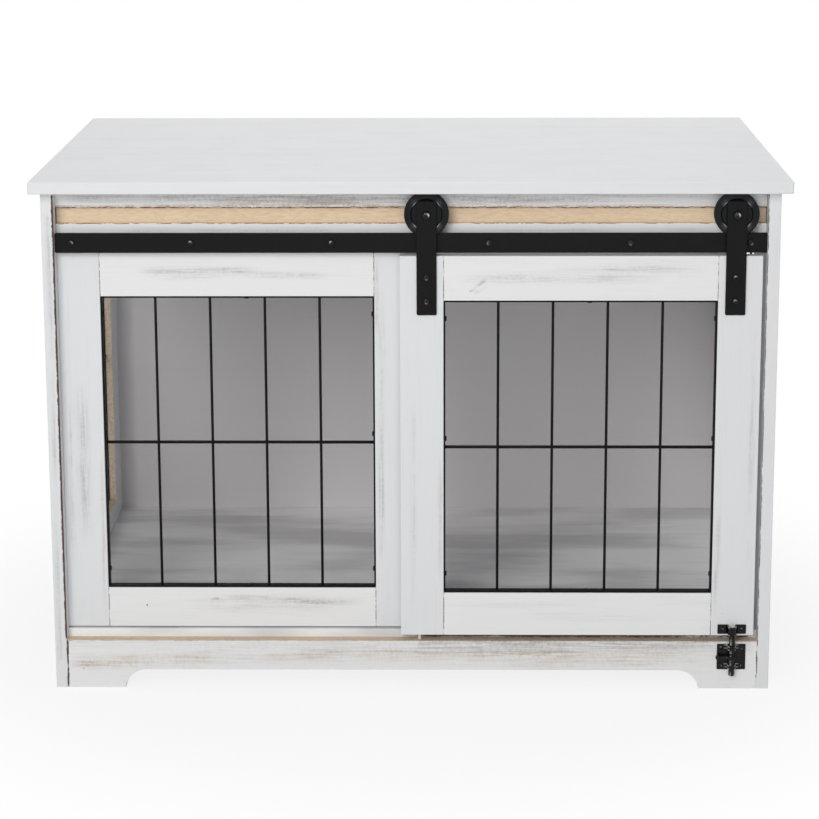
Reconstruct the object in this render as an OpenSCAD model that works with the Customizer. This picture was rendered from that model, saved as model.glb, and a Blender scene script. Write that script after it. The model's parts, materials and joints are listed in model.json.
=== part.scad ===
// Pet crate in the form of a cabinet: fixed barred window on the left, barred door on the right
// that hangs from two grooved rollers on a flat track, and a barrel bolt under the door.
// Units are millimetres, +Z is up, the front faces -Y, the origin is under the middle of the top.

/* [Overall] */
// Width of the top board
top_w = 980; // [800:1:1200]
// Depth of the top board
top_d = 620; // [520:1:760]
// Height from the ground to the upper face of the top
total_h = 690; // [600:1:900]
// Thickness of the main boards
board_t = 16; // [12:0.5:22]
// Rounding on the long edges of the top board
top_edge_r = 1.5; // [0.5:0.5:4]

/* [Cabinet] */
// Overhang of the top past the front edges of the sides
front_overhang = 22; // [5:1:40]
// Overhang of the top past each side
side_overhang = 12.5; // [5:0.5:30]
// Distance from the back of the top to the back panel's outer face
back_setback = 2; // [2:0.5:10]
// Thickness of the back panel
back_t = 3; // [3:0.5:6]
// Gap between the back panel and the top board
back_top_gap = 1; // [0.5:0.5:3]
// Height of the front apron
apron_h = 66.5; // [50:0.5:90]
// Height of the arch cut in the apron's lower edge
arch_h = 25.5; // [15:0.5:40]
// Width of each apron foot at the ground
foot_w = 77; // [50:1:120]
// Radius of the arch at each foot
arch_r = 29; // [15:1:40]
// Height of the floor board's upper face above the apron
floor_rise = 11; // [5:0.5:14]
// Height of the back rail under the floor
rear_rail_h = 50; // [40:1:60]

/* [Side windows] */
// Distance from the side's front and back edges to the window
window_margin_y = 67; // [50:1:100]
// Height of the window's sill above the ground
window_sill = 109; // [95:1:160]
// Distance from the top board's underside to the window
window_margin_top = 109; // [80:1:160]
// Number of upright rods in a side window
window_rods = 5; // [3:1:8]

/* [Front frame] */
// Distance from the sides' front edges to the face of the fixed frame
frame_setback = 20; // [18:0.5:26]
// Height of the header board that carries the track
header_h = 83; // [70:1:110]
// Height of the groove that clears the axle ends
groove_h = 20; // [16:0.5:26]
// Depth of that groove
groove_d = 6; // [4:0.5:9]
// Distance from the header's lower edge to the groove
groove_up = 38.5; // [30:0.5:50]
// Width of the fixed frame's left stile
fixed_left_w = 55; // [45:1:80]
// Width of the fixed frame's right stile
fixed_right_w = 57; // [45:1:80]
// Height of the fixed frame's top rail
fixed_top_h = 58.5; // [45:0.5:80]
// Height of the fixed frame's bottom rail
fixed_bottom_h = 54.5; // [45:0.5:80]
// Gap between the floor board and the fixed frame
fixed_floor_gap = 2; // [0.5:0.5:4]

/* [Door] */
// Width of the door
door_w = 470; // [400:1:520]
// Gap between the door's upper edge and the track over it
door_track_gap = 3.3; // [2:0.1:6]
// Thickness of the door boards
door_t = 15; // [12:0.5:16]
// Width of the fixed frame that the shut door covers
door_overlap = 23.5; // [15:0.5:40]
// Gap between the shut door and the right side
door_side_gap = 5.5; // [3:0.5:10]
// Gap between the door and the apron under it
door_lift = 8.2; // [6:0.1:10]
// Width of the door's stiles
door_stile_w = 57; // [45:1:80]
// Height of the door's rails
door_rail_h = 59; // [45:1:80]
// Width of the guide groove in the door's lower edge
guide_groove_w = 5; // [4.5:0.1:6]
// Depth of the guide groove
guide_groove_d = 9; // [6:0.5:12]
// Diameter of the guide pin on the apron
guide_pin_d = 4; // [3:0.1:4.2]
// Distance of the guide pin from the shut door's left edge
guide_pin_in = 25; // [15:1:28]
// Reach of the guide pin into the door's groove
guide_pin_reach = 5; // [3:0.5:7]
// Depth of the guide pin in the apron
guide_pin_seat = 9.5; // [7:0.5:14]

/* [Grilles] */
// Thickness of the flat bar that lines each opening
rim_t = 2.2; // [1.5:0.1:3]
// Width of the flat bar in the front windows
rim_w = 12; // [8:0.5:13]
// Width of the flat bar in the side windows
side_rim_w = 5; // [4:0.5:8]
// Distance from the board's face to the flat bar
rim_inset = 1; // [0.5:0.5:3]
// Clearance between a rim and the edges of its opening
rim_clear = 0.15; // [0.1:0.05:0.5]
// Diameter of the upright rods
rod_d = 3.6; // [3:0.1:6]
// Diameter of the crossing rod
cross_rod_d = 4.2; // [3:0.1:6]
// Gap at each weld of a grille
weld_gap = 0.1; // [0.05:0.05:0.3]
// Number of upright rods in a front window
front_rods = 4; // [3:1:7]
// Diameter of a grille screw's head
grille_head_d = 7; // [5:0.5:8]
// Height of a grille screw's head
grille_head_h = 1.8; // [1:0.1:3]
// Diameter of a side window screw's head, which fits on the narrow rim
side_head_d = 4.4; // [3.5:0.1:6]
// Diameter of a grille screw's shank
grille_shank_d = 2.6; // [2:0.1:3.5]
// Length of a grille screw under its head
grille_screw_l = 15; // [10:1:20]
// Distance from a front window's corners to the screws nearest to them
rim_screw_end = 25; // [15:1:40]
// Distance of the other front window screws from the middle, clear of the rods
rim_screw_off = 12; // [8:1:20]
// Distance from a side window's corners to its screws
side_screw_end = 60; // [30:1:90]
// Distance of the middle side window screws from the middle, clear of the rods
side_screw_off = 20; // [10:1:28]

/* [Track] */
// Height of the flat track
track_h = 26; // [20:0.5:35]
// Thickness of the flat track
track_t = 4; // [3:0.5:6]
// Distance from the header's lower edge up to the track's lower edge
track_up = 2; // [0:0.5:6]
// Length of the spacers between the track and the header
spacer_l = 11; // [9:0.5:14]
// Diameter of the spacers
spacer_d = 12; // [9:0.5:13]
// Gap between each end of the track and the cabinet's side
track_end_gap = 0.5; // [0.2:0.1:3]
// Diameter of a track bolt's head
track_head_d = 9; // [8:0.5:11]
// Height of a track bolt's head
track_head_h = 2.4; // [1.5:0.1:3]
// Diameter of a track bolt's shank
track_bolt_d = 5; // [4:0.5:7]
// Depth of a track bolt in the header
track_bolt_in = 12; // [8:1:14]
// Distance from each side's inner face to the outermost track bolt
track_bolt_end = 21.5; // [15:0.5:30]

/* [Hangers] */
// Width of a hanger strap
strap_w = 26; // [20:1:35]
// Thickness of a hanger strap
strap_t = 3; // [2:0.5:4]
// Corner radius of a hanger strap
strap_r = 3; // [1:0.5:6]
// Length of a hanger strap
strap_l = 149.6; // [135:0.1:175]
// Distance from the axle up to the strap's upper end
strap_over = 18; // [12:1:22]
// Distance from the door's side edge to a strap's middle
strap_in = 35; // [25:1:50]
// Radius of a roller's flanges
flange_r = 29; // [27:0.5:30]
// Radius of the tread that rolls on the track
tread_r = 24.5; // [22:0.5:26]
// Gap between the tread and the track's upper edge
tread_gap = 0.1; // [0.05:0.05:0.3]
// Width of a roller
roller_w = 13.2; // [11:0.1:14]
// Width of the roller's groove at the tread
tread_w = 5; // [4.5:0.1:6]
// Width of the roller's groove at the rim
mouth_w = 7; // [6:0.1:8]
// Inner radius of the recess in a roller's faces
dish_r0 = 10; // [8:0.5:12]
// Outer radius of that recess
dish_r1 = 20.5; // [16:0.5:22]
// Depth of that recess
dish_d = 2.6; // [1:0.1:3.5]
// Diameter of the axle bolts
axle_d = 6; // [5:0.5:8]
// Diameter of an axle bolt's head
axle_head_d = 11; // [9:0.5:14]
// Height of an axle bolt's head
axle_head_h = 4; // [3:0.5:5]
// Width of an axle nut across its flats
nut_af = 10; // [8:0.5:11]
// Gap between a roller and its nut
nut_gap = 0.4; // [0.3:0.1:0.8]
// Gap between a roller's hub and its strap
hub_gap = 0.1; // [0.05:0.05:0.2]
// Width of the hexagon socket in an axle bolt, across its corners
socket_d = 4.6; // [4:0.1:6]
// Depth of that socket
socket_h = 2.2; // [1.5:0.1:3]
// Thickness of an axle nut
nut_t = 4.8; // [4:0.1:5]
// Length of the bolt past its nut
axle_past = 1.6; // [0.5:0.1:3]
// Distance from a strap's lower end to its first screw
strap_screw_a = 18; // [12:1:25]
// Distance from a strap's lower end to its second screw
strap_screw_b = 49.5; // [35:0.5:60]
// Diameter of a strap screw's head
strap_head_d = 9; // [7:0.5:11]
// Height of a strap screw's head
strap_head_h = 2.2; // [1.5:0.1:3]
// Diameter of a strap screw's shank
strap_shank_d = 4; // [3:0.5:5]
// Depth of a strap screw in the door
strap_screw_in = 12; // [8:1:14]

/* [Barrel bolt] */
// Distance of the bolt's middle from the right side's inner face
bolt_in = 34.5; // [25:0.5:50]
// Width of the bolt's plate
plate_w = 38; // [30:1:50]
// Height of the bolt's plate
plate_h = 35.5; // [30:0.5:45]
// Distance from the plate's edges to its screws
plate_screw_edge = 5; // [4:0.5:7]
// Thickness of the pressed plates
plate_t = 1.2; // [0.8:0.1:2]
// Distance from the plate's upper edge down from the apron's upper edge
plate_drop = 3.5; // [1:0.5:8]
// Diameter of the sliding rod
bolt_d = 8; // [6:0.5:10]
// Length of the rod that stands out under the plate at rest
bolt_below = 7; // [5.5:0.5:12]
// Gap between the rod's upper end and the keeper
bolt_gap = 1; // [0.6:0.1:2]
// Length of the rod's tapered ends
bolt_chamfer = 1.5; // [0.5:0.5:3]
// Clearance round the rod in its guides
bolt_clear = 0.35; // [0.2:0.05:0.6]
// Width of each pressed guide along the rod
guide_band = 5.5; // [4:0.5:8]
// Radius of the outer corners of the pressed guides
band_r = 2.4; // [1.5:0.1:3]
// Width of the flat foot on each side of a pressed guide
band_foot = 2; // [1:0.5:3]
// Distance of the upper guide from the plate's upper edge
guide_top_in = 0.5; // [0:0.5:3]
// Distance of the lower guide from the plate's lower edge
guide_low_in = 3; // [1:0.5:6]
// Height of the knob's collar
collar_h = 5; // [4:0.5:6]
// Wall of the knob's collar
collar_wall = 1.2; // [0.8:0.1:2]
// Clearance between the collar and the rod, on the radius
collar_fit = 0.15; // [0.1:0.05:0.3]
// Clearance between the collar and the plate behind it
collar_gap = 0.35; // [0.3:0.05:1]
// Diameter of the knob's stem
stem_d = 4; // [3:0.5:5]
// Diameter of the knob
knob_d = 7; // [5:0.5:9]
// Distance from the rod's axis to the knob's end
knob_reach = 21.5; // [16:0.5:28]
// Height of the knob's middle above the lower guide at rest
knob_up = 10; // [9:0.5:11]
// Width of the keeper
keeper_w = 38; // [30:1:50]
// Height of the keeper's two ears
keeper_h = 13; // [10:0.5:18]
// Distance from the keeper's ends to its screws
keeper_screw_edge = 6; // [4:0.5:8]
// Height of the keeper's middle loop
keeper_loop_h = 10; // [6:0.5:12]
// Distance from the door's lower edge to the keeper
keeper_up = 2.5; // [1:0.5:5]
// Diameter of the heads of the bolt's screws
bolt_head_d = 6; // [4:0.5:7]
// Height of those heads
bolt_head_h = 1.4; // [1:0.1:2]
// Diameter of the shanks of the bolt's screws
bolt_shank_d = 2.8; // [2:0.1:3.5]
// Depth of the bolt's screws in the wood
bolt_screw_in = 11; // [8:1:14]

/* [Joinery] */
// Diameter of the cam locks
cam_d = 15; // [12:0.5:15]
// Height of the cam locks
cam_h = 12; // [10:0.5:13]
// Distance from a board's end to a cam lock's middle
cam_back = 24; // [20:1:34]
// Diameter of the cam bolts
cam_bolt_d = 6; // [5:0.5:7]
// Diameter of a cam bolt's screwed end
cam_screw_d = 5; // [4:0.5:6]
// Depth of a cam bolt's screwed end
cam_screw_in = 10; // [8:0.5:11]
// Length of a cam bolt's thick end in the lock
cam_ball_l = 6; // [4:0.5:8]
// Length of that end past the lock's middle
cam_ball_past = 2; // [1:0.5:3]
// Distance from the front and back edges of the floor and sides to their cam locks
cam_margin = 75; // [60:1:95]
// Diameter of the wooden dowels
dowel_d = 8; // [6:0.5:8]
// Length of the wooden dowels
dowel_l = 30; // [24:1:40]
// Depth of a dowel in the face of a board
dowel_in = 9; // [8:0.5:10]
// Distance from the floor's front and back edges to its outer dowels
floor_dowel_margin = 38; // [25:1:50]
// Distance from a side's front and back edges to the outer dowels under the top
top_dowel_margin = 115; // [105:1:140]
// Distance from the fixed window's opening to the dowels between its stiles and the header
head_dowel_in = 22; // [15:0.5:28]
// Distance from the fixed left stile's ends to its dowels in the side
stile_dowel_margin = 75; // [50:1:110]
// Clearance between a fitting and its bore, on the radius
fit = 0.15; // [0.1:0.05:0.3]
// Depth that a blind bore runs past its fitting
bore_over = 0.5; // [0.3:0.1:0.8]
// Diameter of a back panel screw's head
back_head_d = 7; // [5:0.5:9]
// Height of a back panel screw's head
back_head_h = 1.2; // [0.8:0.1:1.8]
// Diameter of a back panel screw's shank
back_shank_d = 2.6; // [2:0.1:3.5]
// Length of a back panel screw under its head
back_screw_l = 16; // [12:1:20]
// Height of the lowest back panel screws above the ground
back_screw_low = 90; // [80:1:120]
// Distance from the sides' upper ends to the highest back panel screws
back_screw_high = 24; // [15:1:40]
// Distance from the sides' inner faces to the screws in the floor's back edge
back_screw_side = 161.5; // [100:0.5:200]

/* [Hidden] */
eps = 0.02;
side_out = top_w / 2 - side_overhang;
side_in = side_out - board_t;
side_h = total_h - board_t;
side_y0 = -top_d / 2 + front_overhang;
back_y1 = top_d / 2 - back_setback;
back_y0 = back_y1 - back_t;
inner_w = 2 * side_in;
apron_y1 = side_y0 + board_t;
floor_z1 = apron_h + floor_rise;
floor_z0 = floor_z1 - board_t;
frame_y0 = side_y0 + frame_setback;
frame_y1 = frame_y0 + board_t;
header_z0 = side_h - header_h;
groove_z0 = header_z0 + groove_up;
fixed_z0 = floor_z1 + fixed_floor_gap;
fixed_z1 = header_z0;
fixed_x0 = -side_in;
fixed_x1 = fixed_x0 + fixed_left_w;
fixed_open_z0 = fixed_z0 + fixed_bottom_h;
fixed_open_z1 = fixed_z1 - fixed_top_h;
door_x1 = side_in - door_side_gap;
door_x0 = door_x1 - door_w;
fixed_x3 = door_x0 + door_overlap;
fixed_x2 = fixed_x3 - fixed_right_w;
door_z0 = apron_h + door_lift;
door_y0 = side_y0;
door_y1 = door_y0 + door_t;
door_open_x0 = door_x0 + door_stile_w;
door_open_x1 = door_x1 - door_stile_w;
door_open_z0 = door_z0 + door_rail_h;
window_y0 = side_y0 + window_margin_y;
window_y1 = back_y0 - window_margin_y;
window_z1 = side_h - window_margin_top;
track_y1 = frame_y0 - spacer_l;
track_y0 = track_y1 - track_t;
track_z0 = header_z0 + track_up;
track_z1 = track_z0 + track_h;
track_bolt_z = track_z0 + track_h / 2;
track_bolt_x = [for (share = [-1, -0.648, -0.232, 0.232, 0.648, 1]) share * (side_in - track_bolt_end)];
door_z1 = track_z0 - door_track_gap;
door_open_z1 = door_z1 - door_rail_h;
axle_z = track_z1 + tread_gap + tread_r;
roller_y = (track_y0 + track_y1) / 2;
roller_x = [door_x0 + strap_in, door_x1 - strap_in];
strap_y0 = door_y0 - strap_t;
strap_top = axle_z + strap_over;
strap_foot = strap_top - strap_l;
strap_screw_z = [strap_foot + strap_screw_a, strap_foot + strap_screw_b];
nut_y0 = roller_y + roller_w / 2 + nut_gap;
hub_y0 = door_y0 + hub_gap;
axle_end = nut_y0 + nut_t + axle_past;
bolt_x = side_in - bolt_in;
plate_z1 = apron_h - plate_drop;
plate_z0 = plate_z1 - plate_h;
collar_r = bolt_d / 2 + collar_fit + collar_wall;
bolt_y = side_y0 - plate_t - collar_gap - collar_r;
keeper_z0 = door_z0 + keeper_up;
keeper_z1 = keeper_z0 + keeper_h;
bolt_z1 = keeper_z0 - bolt_gap;
guide_upper_z = plate_z1 - guide_top_in - guide_band;
guide_lower_z = plate_z0 + guide_low_in;
bolt_z0 = plate_z0 - bolt_below;
knob_z = guide_lower_z + guide_band + knob_up;
loop_r = bolt_d / 2 + bolt_clear;
cam_depth = cam_h + bore_over;
floor_mid_z = (floor_z0 + floor_z1) / 2;
apron_mid_y = (side_y0 + apron_y1) / 2;
header_mid_y = (frame_y0 + frame_y1) / 2;
rear_y0 = back_y0 - board_t;
rear_mid_y = rear_y0 + board_t / 2;
rear_z1 = floor_z0;
rear_z0 = rear_z1 - rear_rail_h;
side_mid_x = side_in + board_t / 2;
floor_mid_y = (apron_y1 + back_y0) / 2;
side_mid_y = (side_y0 + back_y0) / 2;
// Height of the header's cam locks, between the track bolts and the groove.
header_cam_z = (track_bolt_z + track_bolt_d / 2 + groove_z0) / 2;
// Height of the header's dowels, between the groove and the top board.
header_dowel_z = (groove_z0 + groove_h + side_h) / 2;
// Places of the fittings: [y, z] on a side's inner face, or y along a side's upper edge.
floor_cams = [for (y = [apron_y1 + cam_margin, back_y0 - cam_margin]) [y, floor_mid_z]];
floor_dowels = [
    for (y = [apron_y1 + floor_dowel_margin, floor_mid_y, back_y0 - floor_dowel_margin])
        [y, floor_mid_z]
];
apron_cams = [[apron_mid_y, apron_h * 0.69]];
apron_dowels = [[apron_mid_y, apron_h * 0.27]];
header_cams = [[header_mid_y, header_cam_z]];
header_dowels = [[header_mid_y, header_dowel_z]];
rear_cams = [[rear_mid_y, rear_z0 + rear_rail_h * 0.6]];
rear_dowels = [[rear_mid_y, rear_z0 + rear_rail_h * 0.2]];
top_cams = [side_y0 + cam_margin, back_y0 - cam_margin];
top_dowels = [side_y0 + top_dowel_margin, side_mid_y, back_y0 - top_dowel_margin];
stile_dowels = [fixed_z0 + stile_dowel_margin, fixed_z1 - stile_dowel_margin];
head_dowels = [fixed_x1 - head_dowel_in, fixed_x2 + head_dowel_in];
back_screw_step_z = (side_h - back_screw_high - back_screw_low) / 4;
back_screw_z = [for (i = [0 : 4]) back_screw_low + i * back_screw_step_z];
back_screw_step_x = (inner_w - 2 * back_screw_side) / 3;
back_screw_x = [for (i = [0 : 3]) -side_in + back_screw_side + i * back_screw_step_x];
guide_pin_x = door_x0 + guide_pin_in;
guide_pin_y = (door_y0 + door_y1) / 2;

// Block between two corners.
module block(a, b) {
    translate(a)
        cube(b - a);
}

// Cylinder along Y from y0 to y1.
module rod_y(x, z, y0, y1, d, n = 32) {
    translate([x, y0, z])
        rotate([-90, 0, 0])
            cylinder(d = d, h = y1 - y0, $fn = n);
}

// Cylinder along X from x0 to x1.
module rod_x(y, z, x0, x1, d, n = 32) {
    translate([x0, y, z])
        rotate([0, 90, 0])
            cylinder(d = d, h = x1 - x0, $fn = n);
}

// Cylinder along Z from z0 to z1.
module rod_z(x, y, z0, z1, d, n = 32) {
    translate([x, y, z0])
        cylinder(d = d, h = z1 - z0, $fn = n);
}

// The same shape on the right and on the left.
module both_sides() {
    children();
    mirror([1, 0, 0])
        children();
}

// Domed screw head with a straight shank along +Z, the head's underside at zero.
module screw(head_d, head_h, shank_d, length) {
    difference() {
        union() {
            cylinder(d1 = head_d * 0.62, d2 = head_d, h = head_h * 0.55, $fn = 24);
            translate([0, 0, head_h * 0.55])
                cylinder(d = head_d, h = head_h * 0.45, $fn = 24);
        }
        translate([0, 0, -eps])
            rotate([0, 0, 45])
                cube([head_d * 0.36, head_d * 0.09, head_h * 0.8], center = true);
        translate([0, 0, -eps])
            rotate([0, 0, 135])
                cube([head_d * 0.36, head_d * 0.09, head_h * 0.8], center = true);
    }
    translate([0, 0, head_h - eps])
        cylinder(d = shank_d, h = length + eps, $fn = 16);
}

// Screw driven along +Y with the underside of its head at y.
module screw_y(x, y, z, head_d, head_h, shank_d, length) {
    translate([x, y - head_h, z])
        rotate([-90, 0, 0])
            screw(head_d, head_h, shank_d, length);
}

// Bores in a board's right end for cams at [y, z] places, with the locks let in along a direction.
module end_cam_bores(places, dir) {
    for (p = places) {
        rod_x(p[0], p[1], side_in - cam_back - cam_ball_l, side_in + 1, cam_bolt_d + 2 * fit, 20);
        translate([side_in - cam_back, p[0], p[1]])
            rotate(dir)
                translate([0, 0, -board_t / 2 - 1])
                    cylinder(d = cam_d + 2 * fit, h = cam_depth + 1, $fn = 32);
    }
}

// Cam locks that fill those bores, each with the slot for its bolt.
module end_cam_locks(places, dir) {
    for (p = places)
        translate([side_in - cam_back, p[0], p[1]])
            rotate(dir)
                cam_lock();
}

// One cam lock, its middle on the bolt's axis and its open face towards -Z; the bolt comes from +X.
module cam_lock() {
    difference() {
        translate([0, 0, -board_t / 2])
            cylinder(d = cam_d, h = cam_h, $fn = 32);
        rotate([0, 90, 0])
            translate([0, 0, -4])
                cylinder(d = cam_bolt_d + 2 * fit + 0.4, h = cam_d, $fn = 20);
        translate([0, 0, -board_t / 2 - eps])
            cube([cam_d * 0.5, 2, 3], center = true);
        translate([0, 0, -board_t / 2 - eps])
            cube([2, cam_d * 0.5, 3], center = true);
    }
}

// Cam bolt along +X: slim screwed end in the side, shank in the board, ball end in the lock.
module cam_bolt() {
    translate([-eps, 0, 0])
        rotate([0, 90, 0])
            cylinder(d = cam_screw_d, h = cam_screw_in + eps, $fn = 16);
    translate([-cam_back + cam_ball_l - cam_ball_past, 0, 0])
        rotate([0, 90, 0])
            cylinder(d = cam_screw_d - 1, h = cam_back - cam_ball_l + cam_ball_past, $fn = 16);
    translate([-cam_back - cam_ball_past, 0, 0])
        rotate([0, 90, 0])
            cylinder(d = cam_bolt_d, h = cam_ball_l + eps, $fn = 16);
    translate([-2.5, 0, 0])
        rotate([0, 90, 0])
            cylinder(d = cam_bolt_d, h = 2.5, $fn = 16);
}

// Dowel bores across a side's inner face, at [y, z] places.
module end_dowel_bores(places) {
    for (p = places)
        rod_x(p[0], p[1], side_in - (dowel_l - dowel_in) - bore_over, side_in + dowel_in + bore_over,
            dowel_d + 2 * fit, 20);
}

// Dowels in those bores.
module end_dowels(places) {
    for (p = places)
        rod_x(p[0], p[1], side_in - (dowel_l - dowel_in), side_in + dowel_in, dowel_d, 20);
}

// Bores in the right side panel for every fitting that meets its inner face or upper edge.
module side_bores() {
    for (p = concat(floor_cams, apron_cams, header_cams, rear_cams))
        rod_x(p[0], p[1], side_in - 1, side_in + cam_screw_in + bore_over, cam_screw_d + 2 * fit, 20);
    end_dowel_bores(concat(floor_dowels, apron_dowels, header_dowels, rear_dowels));
    for (y = top_cams) {
        rod_z(side_mid_x, y, side_h - cam_back - cam_ball_l, side_h + 1, cam_bolt_d + 2 * fit, 20);
        rod_x(y, side_h - cam_back, side_in - 1, side_in + cam_depth, cam_d + 2 * fit, 32);
    }
    for (y = top_dowels)
        rod_z(side_mid_x, y, side_h - (dowel_l - dowel_in) - bore_over, side_h + 1, dowel_d + 2 * fit, 20);
    back_edge_bores();
}

// Pilot bores in the back edges of the right side.
module back_edge_bores() {
    for (z = back_screw_z)
        rod_y(side_mid_x, z, back_y0 - back_screw_l, back_y1, back_shank_d + 2 * fit, 16);
}

// Turn that points a cam lock's open face down, used for the floor.
dir_down = [0, 0, 0];
// Turn that points a cam lock's open face to the back, used for upright boards.
dir_back = [90, 0, 0];

// Top board with its long edges softened and the blind bores for the sides' fittings.
module top_panel() {
    color([0.82, 0.83, 0.84])
        difference() {
            top_board();
            both_sides() {
                for (y = top_cams)
                    rod_z(side_mid_x, y, side_h - 1, side_h + cam_screw_in + bore_over,
                        cam_screw_d + 2 * fit, 20);
                for (y = top_dowels)
                    rod_z(side_mid_x, y, side_h - 1, side_h + dowel_in + bore_over, dowel_d + 2 * fit, 20);
            }
        }
}

// Cross-section of the top board, rounded at its front and back edges, drawn along X.
module top_board() {
    translate([-top_w / 2, 0, side_h])
        rotate([90, 0, 90])
            linear_extrude(top_w)
                rounded_rect(top_d, board_t, top_edge_r);
}

// Flat rectangle centred on the first axis, standing on the second, with rounded corners.
module rounded_rect(w, h, r, n = 16) {
    translate([-w / 2 + r, 0])
        square([w - 2 * r, h]);
    translate([-w / 2, r])
        square([w, h - 2 * r]);
    for (x = [-w / 2 + r, w / 2 - r])
        for (z = [r, h - r])
            translate([x, z])
                circle(r = r, $fn = n);
}

// Right side panel with its window.
module side_board() {
    difference() {
        block([side_in, side_y0, 0], [side_out, back_y0, side_h]);
        block([side_in - 1, window_y0, window_sill], [side_out + 1, window_y1, window_z1]);
        side_bores();
        for (s = window_screws())
            rod_like(s, grille_shank_d + 2 * fit, grille_screw_l + bore_over);
    }
}

// The left side also takes the dowels of the fixed frame.
module left_side_panel() {
    color([0.90, 0.90, 0.90])
        difference() {
            mirror([1, 0, 0])
                side_board();
            stile_dowel_bores();
        }
}

module right_side_panel() {
    color([0.90, 0.90, 0.90])
        side_board();
}

// Bores for the dowels between the left side and the fixed frame's left stile.
module stile_dowel_bores() {
    for (z = stile_dowels)
        rod_x(header_mid_y, z, -side_in - dowel_in - bore_over, -side_in + (dowel_l - dowel_in) + bore_over,
            dowel_d + 2 * fit, 20);
}

// Bores for the dowels between the header and the two fixed stiles.
module head_dowel_bores() {
    for (x = head_dowels)
        rod_z(x, header_mid_y, header_z0 - dowel_l / 2 - bore_over, header_z0 + dowel_l / 2 + bore_over,
            dowel_d + 2 * fit, 20);
}

// Thin back panel, screwed on from behind.
module back_panel() {
    color([0.86, 0.86, 0.87])
        difference() {
            block([-side_out, back_y0, rear_z0], [side_out, back_y1, side_h - back_top_gap]);
            for (s = back_screw_places())
                rod_y(s[0], s[1], back_y0 - 1, back_y1 + 1, back_shank_d + 2 * fit, 16);
        }
}

// Places of the back screws: up both sides, along the floor's back edge.
function back_screw_places() = concat(
    [for (z = back_screw_z) [side_mid_x, z]],
    [for (z = back_screw_z) [-side_mid_x, z]],
    [for (x = back_screw_x) [x, floor_mid_z]]);

module back_screws() {
    color([0.62, 0.62, 0.60])
        for (s = back_screw_places())
            translate([s[0], back_y1 + back_head_h, s[1]])
                rotate([90, 0, 0])
                    screw(back_head_d, back_head_h, back_shank_d, back_screw_l);
}

// Floor board between the sides, its front edge against the apron's back.
module floor_panel() {
    color([0.88, 0.88, 0.88])
        difference() {
            block([-side_in, apron_y1, floor_z0], [side_in, back_y0, floor_z1]);
            both_sides() {
                end_cam_bores(floor_cams, dir_down);
                end_dowel_bores(floor_dowels);
            }
            for (x = back_screw_x)
                rod_y(x, floor_mid_z, back_y0 - back_screw_l, back_y1, back_shank_d + 2 * fit, 16);
        }
}

// Apron with the low arch between its feet.
module front_apron() {
    color([0.90, 0.90, 0.90])
        difference() {
            translate([0, apron_y1, 0])
                rotate([90, 0, 0])
                    linear_extrude(board_t)
                        apron_outline();
            both_sides() {
                end_cam_bores(apron_cams, dir_back);
                end_dowel_bores(apron_dowels);
            }
            plate_screw_bores();
            rod_z(guide_pin_x, guide_pin_y, apron_h - guide_pin_seat - bore_over, apron_h + 1,
                guide_pin_d + 2 * fit, 20);
        }
}

// Apron seen from the front: a strip less the arch, which has a round corner over each foot.
module apron_outline() {
    arch_x = side_in - foot_w;
    difference() {
        translate([-side_in, 0])
            square([inner_w, apron_h]);
        translate([-arch_x + arch_r, -1])
            square([2 * (arch_x - arch_r), arch_h + 1]);
        for (s = [-1, 1])
            intersection() {
                translate([s * (arch_x - arch_r), arch_h - arch_r])
                    circle(r = arch_r, $fn = 96);
                translate([s > 0 ? arch_x - arch_r - 1 : -arch_x - 1, -1])
                    square([arch_r + 2, arch_h + 1]);
            }
    }
}

// Rail under the back of the floor.
module rear_rail() {
    color([0.88, 0.88, 0.88])
        difference() {
            block([-side_in, rear_y0, rear_z0], [side_in, back_y0, rear_z1]);
            both_sides() {
                end_cam_bores(rear_cams, [-90, 0, 0]);
                end_dowel_bores(rear_dowels);
            }
        }
}

// Header with the raw groove that clears the axle ends.
module header_board() {
    color([0.88, 0.86, 0.82])
        difference() {
            block([-side_in, frame_y0, header_z0], [side_in, frame_y1, side_h]);
            block([-side_in - 1, frame_y0 - 1, groove_z0],
                [side_in + 1, frame_y0 + groove_d, groove_z0 + groove_h]);
            both_sides() {
                end_cam_bores(header_cams, dir_back);
                end_dowel_bores(header_dowels);
            }
            head_dowel_bores();
            for (x = track_bolt_x)
                rod_y(x, track_bolt_z, frame_y0 - 1, frame_y0 + track_bolt_in + bore_over,
                    track_bolt_d + 2 * fit, 20);
        }
}

// Places of the screws of a front window's rim: [x, z, direction x, direction z].
function rim_screws(x0, x1, z0, z1) =
    let (dz = (z1 - z0) / 2 - rim_screw_end, xm = (x0 + x1) / 2, zm = (z0 + z1) / 2, off = rim_screw_off)
    [
        [x0, zm - dz, -1, 0], [x0, zm + off, -1, 0], [x0, zm + dz, -1, 0],
        [x1, zm - dz, 1, 0], [x1, zm + off, 1, 0], [x1, zm + dz, 1, 0],
        [xm + off, z1, 0, 1], [xm + off, z0, 0, -1]
    ];

// Screw through a rim into the wood, its head on the rim's inner face.
module rim_screw(s, y, head_d) {
    lift = rim_clear + rim_t + grille_head_h;
    translate([s[0] - s[2] * lift, y, s[1] - s[3] * lift])
        rotate(s[2] != 0 ? [0, 90 * s[2], 0] : [s[3] > 0 ? 0 : 180, 0, 0])
            screw(head_d, grille_head_h, grille_shank_d, grille_screw_l);
}

// Bore in the wood for such a screw.
module rim_bore(s, y, depth) {
    translate([s[0] - s[2] * 6, y, s[1] - s[3] * 6])
        rotate(s[2] != 0 ? [0, 90 * s[2], 0] : [s[3] > 0 ? 0 : 180, 0, 0])
            cylinder(d = grille_shank_d + 2 * fit, h = depth + 6, $fn = 16);
}

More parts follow.
